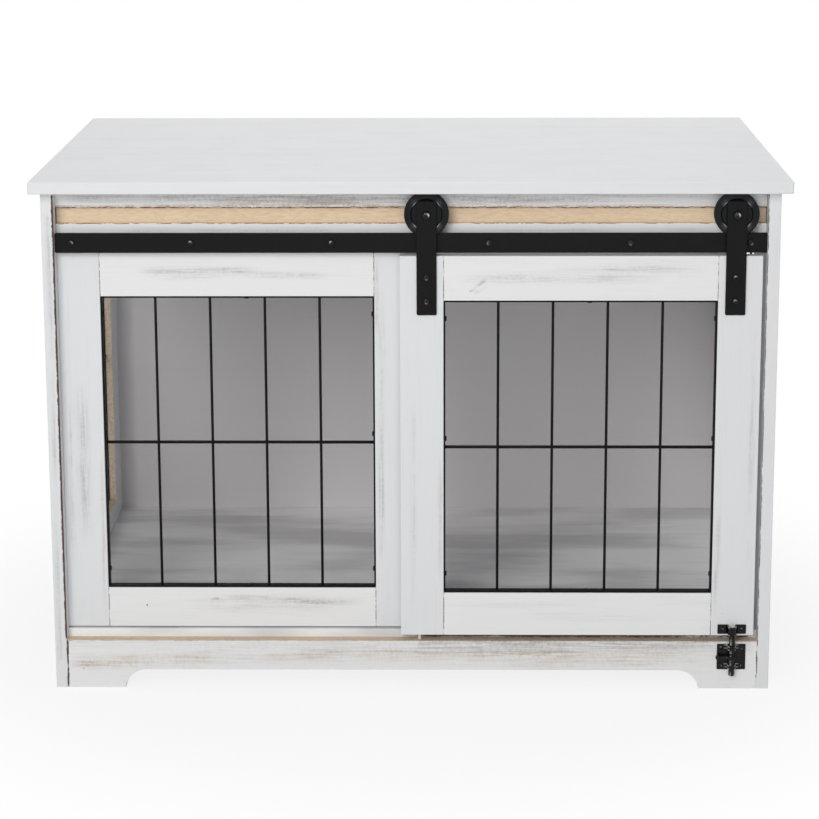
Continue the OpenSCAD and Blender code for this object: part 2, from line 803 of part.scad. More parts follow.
fixed_rim_screws = rim_screws(fixed_x1, fixed_x2, fixed_open_z0, fixed_open_z1);
door_rim_screws = rim_screws(door_open_x0, door_open_x1, door_open_z0, door_open_z1);
fixed_rim_y = frame_y0 + rim_inset + rim_w / 2;
door_rim_y = door_y0 + rim_inset + rim_w / 2;

module fixed_bores() {
    for (s = fixed_rim_screws)
        rim_bore(s, fixed_rim_y, grille_screw_l - rim_t + bore_over);
}

module door_bores() {
    for (s = door_rim_screws)
        rim_bore(s, door_rim_y, grille_screw_l - rim_t + bore_over);
}

// Grille in the XZ plane: a rim of four flat bars, upright rods and one crossing rod behind them.
// Each bar and rod is a solid of its own that ends one weld gap from the bar that it is welded to.
module grille(x0, x1, z0, z1, y0, w, n) {
    a = [x0 + rim_clear, z0 + rim_clear];
    b = [x1 - rim_clear, z1 - rim_clear];
    inset = rim_t + weld_gap;
    ym = y0 + w / 2;
    pitch = (x1 - x0) / (n + 1);
    for (x = [a[0], b[0] - rim_t])
        difference() {
            block([x, y0, a[1] + inset], [x + rim_t, y0 + w, b[1] - inset]);
            children();
        }
    for (z = [a[1], b[1] - rim_t])
        difference() {
            block([a[0], y0, z], [b[0], y0 + w, z + rim_t]);
            children();
        }
    for (i = [1 : n])
        rod_z(x0 + i * pitch, ym - (rod_d + weld_gap) / 2, a[1] + inset, b[1] - inset, rod_d, 16);
    rod_x(ym + (cross_rod_d + weld_gap) / 2, (z0 + z1) / 2, a[0] + inset, b[0] - inset, cross_rod_d, 16);
}

module fixed_left_stile() {
    color([0.91, 0.91, 0.91])
        difference() {
            block([fixed_x0, frame_y0, fixed_z0], [fixed_x1, frame_y1, fixed_z1]);
            stile_dowel_bores();
            head_dowel_bores();
            fixed_bores();
        }
}

module fixed_right_stile() {
    color([0.91, 0.91, 0.91])
        difference() {
            block([fixed_x2, frame_y0, fixed_z0], [fixed_x3, frame_y1, fixed_z1]);
            head_dowel_bores();
            fixed_bores();
        }
}

module fixed_top_rail() {
    color([0.90, 0.90, 0.89])
        difference() {
            block([fixed_x1, frame_y0, fixed_open_z1], [fixed_x2, frame_y1, fixed_z1]);
            fixed_bores();
        }
}

module fixed_bottom_rail() {
    color([0.90, 0.90, 0.89])
        difference() {
            block([fixed_x1, frame_y0, fixed_z0], [fixed_x2, frame_y1, fixed_open_z0]);
            fixed_bores();
        }
}

module fixed_grille() {
    color([0.12, 0.12, 0.12])
        grille(fixed_x1, fixed_x2, fixed_open_z0, fixed_open_z1, frame_y0 + rim_inset, rim_w, front_rods)
            fixed_bores();
}

module fixed_grille_screws() {
    color([0.10, 0.10, 0.10])
        for (s = fixed_rim_screws)
            rim_screw(s, fixed_rim_y, grille_head_d);
}

// Places of a side window's rim screws: [y, z, direction y, direction z].
function window_screws() =
    let (off = side_screw_end, ym = (window_y0 + window_y1) / 2 + side_screw_off)
    [
        [window_y0, window_sill + off, -1, 0], [window_y0, window_z1 - off, -1, 0],
        [window_y1, window_sill + off, 1, 0], [window_y1, window_z1 - off, 1, 0],
        [ym, window_z1, 0, 1], [ym, window_sill, 0, -1]
    ];
window_rim_x = side_out - rim_inset - side_rim_w / 2;

// Bore through a side window's rim and into the wood.
module rod_like(s, d, depth) {
    translate([window_rim_x, s[0] - s[2] * 6, s[1] - s[3] * 6])
        rotate(s[2] != 0 ? [-90 * s[2], 0, 0] : [s[3] > 0 ? 0 : 180, 0, 0])
            cylinder(d = d, h = depth + 6 - rim_t, $fn = 16);
}

// Grille of the right window, which the left one mirrors.
module window_grille() {
    translate([side_out - rim_inset, 0, 0])
        rotate([0, 0, 90])
            grille(window_y0, window_y1, window_sill, window_z1, 0, side_rim_w, window_rods);
}

module right_window_grille() {
    color([0.12, 0.12, 0.12])
        difference() {
            window_grille();
            for (s = window_screws())
                rod_like(s, grille_shank_d + 2 * fit, 10);
        }
}

module left_window_grille() {
    mirror([1, 0, 0])
        right_window_grille();
}

module window_grille_screws() {
    lift = rim_clear + rim_t + grille_head_h;
    color([0.10, 0.10, 0.10])
        both_sides()
            for (s = window_screws())
                translate([window_rim_x, s[0] - s[2] * lift, s[1] - s[3] * lift])
                    rotate(s[2] != 0 ? [-90 * s[2], 0, 0] : [s[3] > 0 ? 0 : 180, 0, 0])
                        screw(side_head_d, grille_head_h, grille_shank_d, grille_screw_l);
}

// Flat track across the front, bored for its bolts.
module door_track() {
    color([0.13, 0.13, 0.13])
        difference() {
            block([-side_in + track_end_gap, track_y0, track_z0],
                [side_in - track_end_gap, track_y1, track_z1]);
            for (x = track_bolt_x)
                rod_y(x, track_bolt_z, track_y0 - 1, track_y1 + 1, track_bolt_d + 2 * fit, 20);
        }
}

module track_spacers() {
    color([0.14, 0.14, 0.14])
        for (x = track_bolt_x)
            difference() {
                rod_y(x, track_bolt_z, track_y1, frame_y0, spacer_d, 32);
                rod_y(x, track_bolt_z, track_y1 - 1, frame_y0 + 1, track_bolt_d + 2 * fit, 20);
            }
}

module track_bolts() {
    color([0.16, 0.16, 0.16])
        for (x = track_bolt_x)
            screw_y(x, track_y0, track_bolt_z, track_head_d, track_head_h, track_bolt_d,
                track_t + spacer_l + track_bolt_in);
}

// Pin on the apron that runs in the groove of the door's lower edge.
module guide_pin() {
    color([0.90, 0.84, 0.74])
        rod_z(guide_pin_x, guide_pin_y, apron_h - guide_pin_seat, door_z0 + guide_pin_reach, guide_pin_d, 20);
}

module guide_groove() {
    block([door_x0 - 1, guide_pin_y - guide_groove_w / 2, door_z0 - 1],
        [door_x1 + 1, guide_pin_y + guide_groove_w / 2, door_z0 + guide_groove_d]);
}

// Bores in the door for the straps' screws.
module strap_bores() {
    for (x = roller_x)
        for (z = strap_screw_z)
            rod_y(x, z, strap_y0 - 1, door_y0 + strap_screw_in + bore_over, strap_shank_d + 2 * fit, 16);
}

module keeper_bores() {
    for (x = keeper_screw_x)
        rod_y(x, keeper_z0 + keeper_h / 2, door_y0 - plate_t - 1, door_y0 + bolt_screw_in + bore_over,
            bolt_shank_d + 2 * fit, 16);
}

module door_left_stile() {
    color([0.92, 0.92, 0.92])
        difference() {
            block([door_x0, door_y0, door_z0], [door_open_x0, door_y1, door_z1]);
            guide_groove();
            strap_bores();
            door_bores();
        }
}

module door_right_stile() {
    color([0.92, 0.92, 0.92])
        difference() {
            block([door_open_x1, door_y0, door_z0], [door_x1, door_y1, door_z1]);
            guide_groove();
            strap_bores();
            door_bores();
            keeper_bores();
        }
}

module door_top_rail() {
    color([0.91, 0.91, 0.91])
        difference() {
            block([door_open_x0, door_y0, door_open_z1], [door_open_x1, door_y1, door_z1]);
            door_bores();
        }
}

module door_bottom_rail() {
    color([0.91, 0.91, 0.91])
        difference() {
            block([door_open_x0, door_y0, door_z0], [door_open_x1, door_y1, door_open_z0]);
            guide_groove();
            door_bores();
        }
}

module door_grille() {
    color([0.12, 0.12, 0.12])
        grille(door_open_x0, door_open_x1, door_open_z0, door_open_z1, door_y0 + rim_inset, rim_w, front_rods)
            door_bores();
}

module door_grille_screws() {
    color([0.10, 0.10, 0.10])
        for (s = door_rim_screws)
            rim_screw(s, door_rim_y, grille_head_d);
}

// Flat hanger strap in front of the track, from the axle down to the door's face.
module hanger_strap(x) {
    color([0.13, 0.13, 0.13])
        difference() {
            translate([x, door_y0, strap_foot])
                rotate([90, 0, 0])
                    linear_extrude(strap_t)
                        rounded_rect(strap_w, strap_top - strap_foot, strap_r, 24);
            rod_y(x, axle_z, strap_y0 - 1, door_y0 + 1, axle_d + 2 * fit, 24);
            strap_bores();
        }
}

module left_hanger_strap() {
    hanger_strap(roller_x[0]);
}

module right_hanger_strap() {
    hanger_strap(roller_x[1]);
}

module strap_screws() {
    color([0.16, 0.16, 0.16])
        for (x = roller_x)
            for (z = strap_screw_z)
                screw_y(x, strap_y0, z, strap_head_d, strap_head_h, strap_shank_d, strap_t + strap_screw_in);
}

// Axle bolt with a rounded head and a hexagon socket.
module axle_bolt(x) {
    color([0.30, 0.30, 0.31])
        translate([x, strap_y0 - axle_head_h, axle_z])
            rotate([-90, 0, 0]) {
                difference() {
                    rotate_extrude($fn = 48)
                        polygon([
                            [0, 0], [axle_head_d * 0.3, 0], [axle_head_d * 0.42, 0.8],
                            [axle_head_d / 2, 2.2], [axle_head_d / 2, axle_head_h], [0, axle_head_h]
                        ]);
                    translate([0, 0, -eps])
                        cylinder(d = socket_d, h = socket_h, $fn = 6);
                }
                translate([0, 0, axle_head_h - eps])
                    cylinder(d = axle_d, h = axle_end - strap_y0 + eps, $fn = 32);
            }
}

module left_axle_bolt() {
    axle_bolt(roller_x[0]);
}

module right_axle_bolt() {
    axle_bolt(roller_x[1]);
}

// Hexagon nuts behind the rollers.
module axle_nuts() {
    color([0.34, 0.34, 0.35])
        for (x = roller_x)
            translate([x, nut_y0, axle_z])
                rotate([-90, 0, 0])
                    difference() {
                        cylinder(d = nut_af / cos(30), h = nut_t, $fn = 6);
                        translate([0, 0, -1])
                            cylinder(d = axle_d + 2 * fit, h = nut_t + 2, $fn = 32);
                    }
}

// Grooved roller, turned about its axle, with a recessed web on both faces.
module roller(x) {
    h = roller_w / 2;
    bore = axle_d / 2 + fit;
    hub = roller_y - hub_y0;
    color([0.15, 0.15, 0.15])
        translate([x, roller_y, axle_z])
            rotate([90, 0, 0])
                rotate_extrude($fn = 72)
                    polygon([
                        [bore, -h], [dish_r0, -h], [dish_r0 + 0.8, -h + dish_d], [dish_r1 - 0.8, -h + dish_d],
                        [dish_r1, -h], [flange_r - 0.8, -h], [flange_r, -h + 0.8], [flange_r, -mouth_w / 2],
                        [tread_r, -tread_w / 2], [tread_r, tread_w / 2], [flange_r, mouth_w / 2],
                        [flange_r, h - 0.8], [flange_r - 0.8, h], [dish_r1, h], [dish_r1 - 0.8, h - dish_d],
                        [dish_r0 + 0.8, h - dish_d], [dish_r0, h], [bore + 3, h], [bore + 3, hub], [bore, hub]
                    ]);
}

module left_roller() {
    roller(roller_x[0]);
}

module right_roller() {
    roller(roller_x[1]);
}

// Cross-section of a pressed band over the rod, in the XY plane: two walls, a front with rounded
// outer corners, and a flat foot on each side.
module band_outline() {
    out_w = loop_r + plate_t;
    difference() {
        union() {
            translate([bolt_x, bolt_y - out_w])
                rounded_rect(2 * out_w, side_y0 - bolt_y, band_r, 24);
            translate([bolt_x - out_w, bolt_y])
                square([2 * out_w, side_y0 - bolt_y]);
            translate([bolt_x - out_w - band_foot, side_y0 - plate_t])
                square([2 * (out_w + band_foot), plate_t]);
        }
        translate([bolt_x - loop_r, bolt_y - loop_r])
            square([2 * loop_r, side_y0 - bolt_y + loop_r + 1]);
    }
}

plate_screw_dx = plate_w / 2 - plate_screw_edge;
plate_screw_places = [
    for (x = [bolt_x - plate_screw_dx, bolt_x + plate_screw_dx])
        for (z = [plate_z0 + plate_screw_edge, plate_z1 - plate_screw_edge])
            [x, z]
];
keeper_screw_dx = keeper_w / 2 - keeper_screw_edge;
keeper_screw_x = [bolt_x - keeper_screw_dx, bolt_x + keeper_screw_dx];

module plate_screw_bores() {
    for (p = plate_screw_places)
        rod_y(p[0], p[1], side_y0 - plate_t - 1, side_y0 + bolt_screw_in + bore_over,
            bolt_shank_d + 2 * fit, 16);
}

// Plate on the apron with two pressed bands that guide the rod.
module bolt_plate() {
    color([0.14, 0.14, 0.14])
        difference() {
            union() {
                block([bolt_x - plate_w / 2, side_y0 - plate_t, plate_z0],
                    [bolt_x + plate_w / 2, side_y0, plate_z1]);
                for (z = [guide_lower_z, guide_upper_z])
                    translate([0, 0, z])
                        linear_extrude(guide_band)
                            band_outline();
            }
            plate_screw_bores();
        }
}

module bolt_plate_screws() {
    color([0.20, 0.20, 0.20])
        for (p = plate_screw_places)
            screw_y(p[0], side_y0 - plate_t, p[1], bolt_head_d, bolt_head_h, bolt_shank_d,
                plate_t + bolt_screw_in);
}

// Keeper on the door: two ears and a lower loop that takes the rod's end.
module keeper_plate() {
    color([0.14, 0.14, 0.14])
        difference() {
            union() {
                for (s = [0, 1])
                    translate([bolt_x, 0, 0])
                        mirror([s, 0, 0])
                            block([loop_r + plate_t - eps, side_y0 - plate_t, keeper_z0],
                                [keeper_w / 2, side_y0, keeper_z1]);
                translate([0, 0, keeper_z0])
                    linear_extrude(keeper_loop_h)
                        band_outline();
            }
            keeper_bores();
        }
}

module keeper_screws() {
    color([0.20, 0.20, 0.20])
        for (x = keeper_screw_x)
            screw_y(x, side_y0 - plate_t, keeper_z0 + keeper_h / 2, bolt_head_d, bolt_head_h,
                bolt_shank_d, plate_t + bolt_screw_in);
}

// Sliding rod with tapered ends.
module bolt_rod() {
    r = bolt_d / 2;
    color([0.20, 0.20, 0.20])
        translate([bolt_x, bolt_y, 0])
            rotate_extrude($fn = 40)
                polygon([
                    [0, bolt_z0], [r - bolt_chamfer, bolt_z0], [r, bolt_z0 + bolt_chamfer],
                    [r, bolt_z1 - bolt_chamfer], [r - bolt_chamfer, bolt_z1], [0, bolt_z1]
                ]);
}

// Half outline of the stem and its ball end, turned about the stem: [radius, distance from the rod's axis].
function knob_outline() =
    let (r = knob_d / 2, end = knob_reach, mid = knob_reach - r, half = stem_d / 2)
    concat(
        [[0, bolt_d / 2 + collar_fit + collar_wall / 2], [half, bolt_d / 2 + collar_fit + collar_wall / 2]],
        [[half, mid - sqrt(r * r - half * half)]],
        [for (a = [-36 : 18 : 72]) [r * cos(a), mid + r * sin(a)]],
        [[0, end]]
    );

// Knob on its stem, carried by a collar round the rod and turned to the left.
module bolt_knob() {
    color([0.18, 0.18, 0.18])
        translate([bolt_x, bolt_y, knob_z])
            union() {
                difference() {
                    translate([0, 0, -collar_h / 2])
                        cylinder(r = collar_r, h = collar_h, $fn = 40);
                    translate([0, 0, -collar_h])
                        cylinder(r = bolt_d / 2 + collar_fit, h = 2 * collar_h, $fn = 40);
                }
                rotate([0, -90, 0])
                    rotate_extrude($fn = 32)
                        polygon(knob_outline());
            }
}

module cam_locks() {
    color([0.70, 0.70, 0.68]) {
        both_sides() {
            end_cam_locks(floor_cams, dir_down);
            end_cam_locks(concat(apron_cams, header_cams), dir_back);
            end_cam_locks(rear_cams, [-90, 0, 0]);
            for (y = top_cams)
                translate([side_mid_x, y, side_h - cam_back])
                    rotate([0, 90, 0])
                        rotate([0, 0, 180])
                            cam_lock();
        }
    }
}

module cam_bolts() {
    color([0.60, 0.60, 0.58])
        both_sides() {
            for (p = concat(floor_cams, apron_cams, header_cams, rear_cams))
                translate([side_in, p[0], p[1]])
                    cam_bolt();
            for (y = top_cams)
                translate([side_mid_x, y, side_h])
                    rotate([0, -90, 0])
                        cam_bolt();
        }
}

module dowels() {
    color([0.80, 0.66, 0.48]) {
        both_sides() {
            end_dowels(concat(floor_dowels, apron_dowels, header_dowels, rear_dowels));
            for (y = top_dowels)
                rod_z(side_mid_x, y, side_h - (dowel_l - dowel_in), side_h + dowel_in, dowel_d, 20);
        }
        for (z = stile_dowels)
            rod_x(header_mid_y, z, -side_in - dowel_in, -side_in + (dowel_l - dowel_in), dowel_d, 20);
        for (x = head_dowels)
            rod_z(x, header_mid_y, header_z0 - dowel_l / 2, header_z0 + dowel_l / 2, dowel_d, 20);
    }
}

top_panel();
left_side_panel();
right_side_panel();
back_panel();
floor_panel();
front_apron();
rear_rail();
header_board();
fixed_left_stile();
fixed_right_stile();
fixed_top_rail();
fixed_bottom_rail();
fixed_grille();
fixed_grille_screws();
left_window_grille();
right_window_grille();
window_grille_screws();
door_track();
track_spacers();
track_bolts();
guide_pin();
bolt_plate();
bolt_plate_screws();
cam_locks();
cam_bolts();
dowels();
back_screws();
door_left_stile();
door_right_stile();
door_top_rail();
door_bottom_rail();
door_grille();
door_grille_screws();
left_hanger_strap();
right_hanger_strap();
strap_screws();
left_axle_bolt();
right_axle_bolt();
axle_nuts();
keeper_plate();
keeper_screws();
left_roller();
right_roller();
bolt_rod();
bolt_knob();
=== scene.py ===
"""Looks of a pet crate: a white cabinet with a fixed barred window and a sliding barred door."""
import json
import logging
import math
from collections.abc import Callable, Iterable
from dataclasses import dataclass, field
from enum import Enum

import bpy
import numpy as np
from mathutils import Euler, Matrix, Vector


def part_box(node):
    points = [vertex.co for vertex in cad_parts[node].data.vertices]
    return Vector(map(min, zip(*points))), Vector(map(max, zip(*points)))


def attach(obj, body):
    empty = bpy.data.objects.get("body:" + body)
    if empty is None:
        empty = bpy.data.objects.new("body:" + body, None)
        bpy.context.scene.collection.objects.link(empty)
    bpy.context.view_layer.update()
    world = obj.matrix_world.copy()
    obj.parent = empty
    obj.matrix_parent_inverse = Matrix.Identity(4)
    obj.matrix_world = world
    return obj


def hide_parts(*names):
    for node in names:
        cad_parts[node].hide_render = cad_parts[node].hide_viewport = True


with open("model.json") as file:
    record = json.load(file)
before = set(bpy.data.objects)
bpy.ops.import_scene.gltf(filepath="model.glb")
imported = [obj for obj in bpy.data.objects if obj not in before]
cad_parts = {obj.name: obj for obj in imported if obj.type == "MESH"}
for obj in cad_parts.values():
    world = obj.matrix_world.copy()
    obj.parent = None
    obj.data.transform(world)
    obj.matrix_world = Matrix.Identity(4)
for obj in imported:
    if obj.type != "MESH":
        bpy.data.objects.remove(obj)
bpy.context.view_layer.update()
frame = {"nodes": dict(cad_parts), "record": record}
LOG = logging.getLogger("pet_crate")
MM = 0.001
PHOTO_SIDE = 819
Colour = tuple[float, float, float]
Place = tuple[float, float, float]
Spot = tuple[float, float]
FRONT, BACK = (0.0, -1.0, 0.0), (0.0, 1.0, 0.0)
LEFT, RIGHT = (-1.0, 0.0, 0.0), (1.0, 0.0, 0.0)
DOWN, UP = (0.0, 0.0, -1.0), (0.0, 0.0, 1.0)
TURN = 2 * math.pi
# How far past a rounded edge a flat side has points, so that its shading stays flat
FLAT_MARGINS = (0.6, 1.8)
# Most of a side that one rounded corner, and its margins, may take
MOST_CUT, MOST_MARGIN = 0.3, 0.45
# Height of a chipped board's random curve from which it is chipped
CHIP_FROM = 0.42
# Largest distance between points, in millimetres, that leaves a small part's sides whole
WHOLE = 20.0


class Grain(Enum):
    """Axis along which a board's fibres and brush strokes run."""

    ALONG_X = 0
    ALONG_Z = 2


class Trace(Enum):
    """What a mark on a board shows; the value is the name of the mesh attribute."""

    # Besides real wear, smears and streaks, these marks also carry painted shade (the floor's edge
    # and the apron's top under the door, the header under the top's overhang and under its groove's
    # lip) and painted highlights (the wheels' dish rims, the latch's band edges and rod, the
    # screws' rims).
    WEAR_SHADE_GLINT = "worn"
    RAW = "raw"
    SMEAR_AND_SHADE = "smear"
    STREAK_AND_SHADE = "streak"


MarkRows = dict[Trace, list[tuple[float, ...]]]

# Surfaces


def ripple(place: np.ndarray, step: float, seed: int, cells: int = 2048) -> np.ndarray:
    """Smooth random curve: one random height each step, joined by a smooth blend.

    Args:
        place: Distances along the curve.
        step: Distance from one random height to the next.
        seed: Seed of the heights.
        cells: Heights before they repeat.

    Returns:
        Heights between 0 and 1.
    """
    table = np.random.default_rng(seed).random(cells)
    cell = np.floor(place / step).astype(int)
    share = place / step - cell
    share = share * share * (3.0 - 2.0 * share)
    return table[cell % cells] * (1.0 - share) + table[(cell + 1) % cells] * share


def rectangle(low: Iterable[float], high: Iterable[float]) -> np.ndarray:
    """Corners of the rectangle between its lowest and its highest one, in turn."""
    (x0, y0), (x1, y1) = low, high
    return np.array([[x0, y0], [x1, y0], [x1, y1], [x0, y1]], float)


def soften(corners: np.ndarray, reach: float | np.ndarray, steps: int = 4,
           margins: tuple[float, ...] = FLAT_MARGINS) -> np.ndarray:
    """Rounds a closed outline: each corner becomes a quadratic curve from one side to the next.

    Args:
        corners: Corners, one per row.
        reach: How far from its corner each curve starts, for all corners or one each.
        steps: Pieces per curve.
        margins: Distances past the curve's ends where a point stays on the side.

    Returns:
        The rounded outline.
    """
    sides = [np.roll(corners, 1, 0) - corners, np.roll(corners, -1, 0) - corners]
    lengths = [np.linalg.norm(side, axis=1, keepdims=True) for side in sides]
    wanted = np.broadcast_to(np.asarray(reach, float).reshape(-1, 1), lengths[0].shape)
    cut = np.minimum(wanted, MOST_CUT * np.minimum(*lengths))
    start, end = (corners + side / length * cut for side, length in zip(sides, lengths))
    share = np.linspace(0.0, 1.0, steps + 1)[None, :, None]
    curve = (1 - share) ** 2 * start[:, None] + 2 * share * (1 - share) * corners[:, None]
    curve = curve + share ** 2 * end[:, None]
    past = np.array(margins)[None, :, None]
    reaches = [np.minimum(cut[:, None] + gap, MOST_MARGIN * length[:, None])
               for gap, length in zip((past[:, ::-1], past), lengths)]
    head, tail = (corners[:, None] + (side / length)[:, None] * away
                  for side, length, away in zip(sides, lengths, reaches))
    return np.concatenate([head, curve, tail], axis=1).reshape(-1, corners.shape[1])


def divide(outline: np.ndarray, step: float | np.ndarray) -> np.ndarray:
    """Puts more points on a closed outline, a step apart at most, and drops doubled points.

    Args:
        outline: Corners, one per row.
        step: Largest distance between points, for all sides or one each.

    Returns:
        The divided outline.
    """
    side = np.roll(outline, -1, 0) - outline
    length = np.linalg.norm(side, axis=1)
    parts = np.where(length < 1e-6, 0, np.maximum(1, np.ceil(length / step))).astype(int)
    index = np.repeat(np.arange(len(outline)), parts)
    order = np.arange(parts.sum()) - np.repeat(np.cumsum(parts) - parts, parts)
    return outline[index] + side[index] * (order / parts[index])[:, None]


def mitres(outline: np.ndarray) -> np.ndarray:
    """Outward steps that move both neighbouring sides of a closed outline by one.

    Args:
        outline: Corners, one per row.

    Returns:
        One step per corner.
    """
    side = np.roll(outline, -1, 0) - outline
    side = side / np.maximum(np.linalg.norm(side, axis=1, keepdims=True), 1e-9)
    after = np.roll(outline, -1, 0)
    area = np.sum(outline[:, 0] * after[:, 1] - outline[:, 1] * after[:, 0])
    normal = np.stack([side[:, 1], -side[:, 0]], axis=1) * np.sign(area)
    last = np.roll(normal, 1, 0)
    return (normal + last) / (1.0 + np.sum(normal * last, axis=1, keepdims=True))


def stations(start: float, end: float, ease: float, step: float, extra: Iterable[float] = (),
             steps: int = 4) -> tuple[np.ndarray, np.ndarray]:
    """Places along a board and how far its outline is drawn in there.

    Both ends are quarter circles: at an angle a the place is ease * (1 - cos a) from the end and
    the outline is drawn in by ease * (1 - sin a).

    Args:
        start: First end.
        end: Last end.
        ease: Radius of the ends' edges.
        step: Largest distance between places in the middle.
        extra: More places in the middle.
        steps: Pieces of a quarter circle.

    Returns:
        The places and the insets.
    """
    angle = np.linspace(0.0, math.pi / 2, steps + 1)
    margin = ease + FLAT_MARGINS[0]
    near = np.concatenate([[0.0], ease * (1 - np.cos(angle)), [margin]])
    inset = np.concatenate([[margin], ease * (1 - np.sin(angle)), [0.0]])
    count = max(2, math.ceil((end - start - 2 * margin) / step))
    middle = np.linspace(start + margin, end - margin, count + 1)[1:-1]
    middle = np.union1d(middle, extra)
    place = np.concatenate([start + near, middle, end - near[::-1]])
    return place, np.concatenate([inset, np.zeros(len(middle)), inset[::-1]])


def weave_faces(rows: int, columns: int, round_rows: bool) -> np.ndarray:
    """Four-sided faces of a grid of points whose columns close, and whose rows may.

    Args:
        rows: Rows of the grid.
        columns: Points per row.
        round_rows: Whether the last row joins the first.

    Returns:
        Four corners per face.
    """
    row = np.arange(rows if round_rows else rows - 1)[:, None]
    column = np.arange(columns)[None, :]
    below, right = (row + 1) % rows, (column + 1) % columns
    corners = [row * columns + column, row * columns + right,
               below * columns + right, below * columns + column]
    return np.stack(np.broadcast_arrays(*corners), axis=-1).reshape(-1, 4)


@dataclass
class Skin:
    """A closed surface: points in millimetres, its faces, and marks on the points."""

    points: np.ndarray
    quads: np.ndarray
    caps: list[list[int]] = field(default_factory=list)
    marks: dict[str, np.ndarray] = field(default_factory=dict)

    def volume(self) -> float:
        """Signed volume: a sixth of the sum of the triple products of each triangle's corners.

        Returns:
            The volume, negative where the faces point inwards.
        """
        fans = [self.quads[:, [0, 1, 2]], self.quads[:, [0, 2, 3]]]
        for cap in self.caps:
            ends = np.array(cap)
            fans.append(np.stack([np.full(len(ends) - 2, ends[0]), ends[1:-1], ends[2:]], axis=1))
        corners = self.points[np.concatenate(fans)]
        return float(np.sum(corners[:, 0] * np.cross(corners[:, 1], corners[:, 2])) / 6.0)

    def outward(self) -> "Skin":
        """Turns the faces round if they point inwards.

        Returns:
            The skin itself.
        """
        if self.volume() < 0:
            self.quads = self.quads[:, ::-1]
            self.caps = [cap[::-1] for cap in self.caps]
        return self

    def turned(self, columns: np.ndarray, place: Place = (0.0, 0.0, 0.0)) -> "Skin":
        """Copy with its axes along the given columns, then moved; a mirrored copy stays outward."""
        points = self.points @ columns.T + np.array(place)
        return Skin(points, self.quads, self.caps, dict(self.marks)).outward()

    def mark(self, trace: Trace, values: np.ndarray) -> None:
        """Keeps the larger of the marks at each point."""
        old = self.marks.get(trace.value, np.zeros(len(self.points)))
        self.marks[trace.value] = np.maximum(old, values)


def tube(rings: np.ndarray) -> Skin:
    """Closed surface through rings of points, with a flat face at each end.

    Args:
        rings: Rings of points, by ring, point and axis.

    Returns:
        The closed skin.
    """
    rows, columns = rings.shape[:2]
    first = list(range(columns))[::-1]
    last = list(range((rows - 1) * columns, rows * columns))
    return Skin(rings.reshape(-1, 3), weave_faces(rows, columns, False), [first, last]).outward()


def hoop(rings: np.ndarray) -> Skin:
    """Closed surface through rings of points of which the last joins the first."""
    return Skin(rings.reshape(-1, 3), weave_faces(*rings.shape[:2], True)).outward()


def joined(skins: list[Skin]) -> Skin:
    """One skin of several, each keeping its faces and marks.

    Args:
        skins: The skins.

    Returns:
        One skin.
    """
    starts = np.cumsum([0] + [len(skin.points) for skin in skins])[:-1].tolist()
    names = sorted({name for skin in skins for name in skin.marks})
    marks = {name: np.concatenate([skin.marks.get(name, np.zeros(len(skin.points)))
                                   for skin in skins]) for name in names}
    quads = np.concatenate([skin.quads + start for skin, start in zip(skins, starts)])
    caps = [[index + start for index in cap] for skin, start in zip(skins, starts)
            for cap in skin.caps]
    return Skin(np.concatenate([skin.points for skin in skins]), quads, caps, marks)


def carried(outline: np.ndarray, axis: int, ends: Spot, ease: float, step: float) -> Skin:
    """Closed outline carried along an axis, drawn in at both ends so that their edges are round.

    Args:
        outline: Outline in the two other axes, in their order.
        axis: Axis of the travel.
        ends: Where the travel starts and ends.
        ease: Radius of the ends' edges.
        step: Largest distance between rings.

    Returns:
        The closed skin.
    """
    place, inset = stations(*ends, ease, step)
    rings = np.empty((len(place), len(outline), 3))
    rings[:, :, axis] = place[:, None]
    rings[:, :, other_axes(axis)] = outline[None] - mitres(outline)[None] * inset[:, None, None]
    return tube(rings)


def other_axes(axis: int) -> list[int]:
    """The two other axes."""
    return [index for index in range(3) if index != axis]


def revolved(profile: np.ndarray, around: int = 48) -> np.ndarray:
    """Rings of a profile of [radius, height] turned about the height's axis.

    Args:
        profile: Radius and height, one pair per row.
        around: Points per ring.

    Returns:
        The rings.
    """
    angle = np.linspace(0.0, TURN, around, endpoint=False)
    radius, height = profile[:, :1], profile[:, 1:]
    return np.stack(np.broadcast_arrays(radius * np.cos(angle), radius * np.sin(angle), height),
                    axis=-1)


def ring(corners: np.ndarray, ease: float, steps: int, margin: float, around: int) -> Skin:
    """Ring turned about the height's axis from a closed outline of [radius, height].

    Args:
        corners: The outline's corners.
        ease: Reach of their rounding.
        steps: Pieces of each rounding.
        margin: Distance past a rounding where a point stays on the side.
        around: Points round the ring.

    Returns:
        The closed skin.
    """
    return hoop(revolved(divide(soften(corners, ease, steps, (margin,)), WHOLE), around))


def ellipsoid(centre: Place, radii: Place, rows: int = 7, around: int = 12) -> Skin:
    """Ellipsoid with upright poles; each ring's radius is the sine of its angle.

    Args:
        centre: Its middle.
        radii: Half its size along each axis.
        rows: Rings from pole to pole.
        around: Points per ring.

    Returns:
        The closed skin.
    """
    pole = 0.06
    angle = np.linspace(pole, math.pi - pole, rows)
    skin = tube(revolved(np.stack([np.sin(angle), np.cos(angle)], axis=1), around))
    return skin.turned(np.diag(radii), centre)


def towards(axis: Place) -> np.ndarray:
    """Columns of a turn that takes the third axis to a given one.

    Args:
        axis: Where the third axis goes.

    Returns:
        Three columns.
    """
    third = np.array(axis, float) / np.linalg.norm(axis)
    helper = np.array(UP if abs(third[2]) < 0.9 else RIGHT)
    first = np.cross(helper, third)
    first = first / np.linalg.norm(first)
    return np.stack([first, np.cross(third, first), third], axis=1)


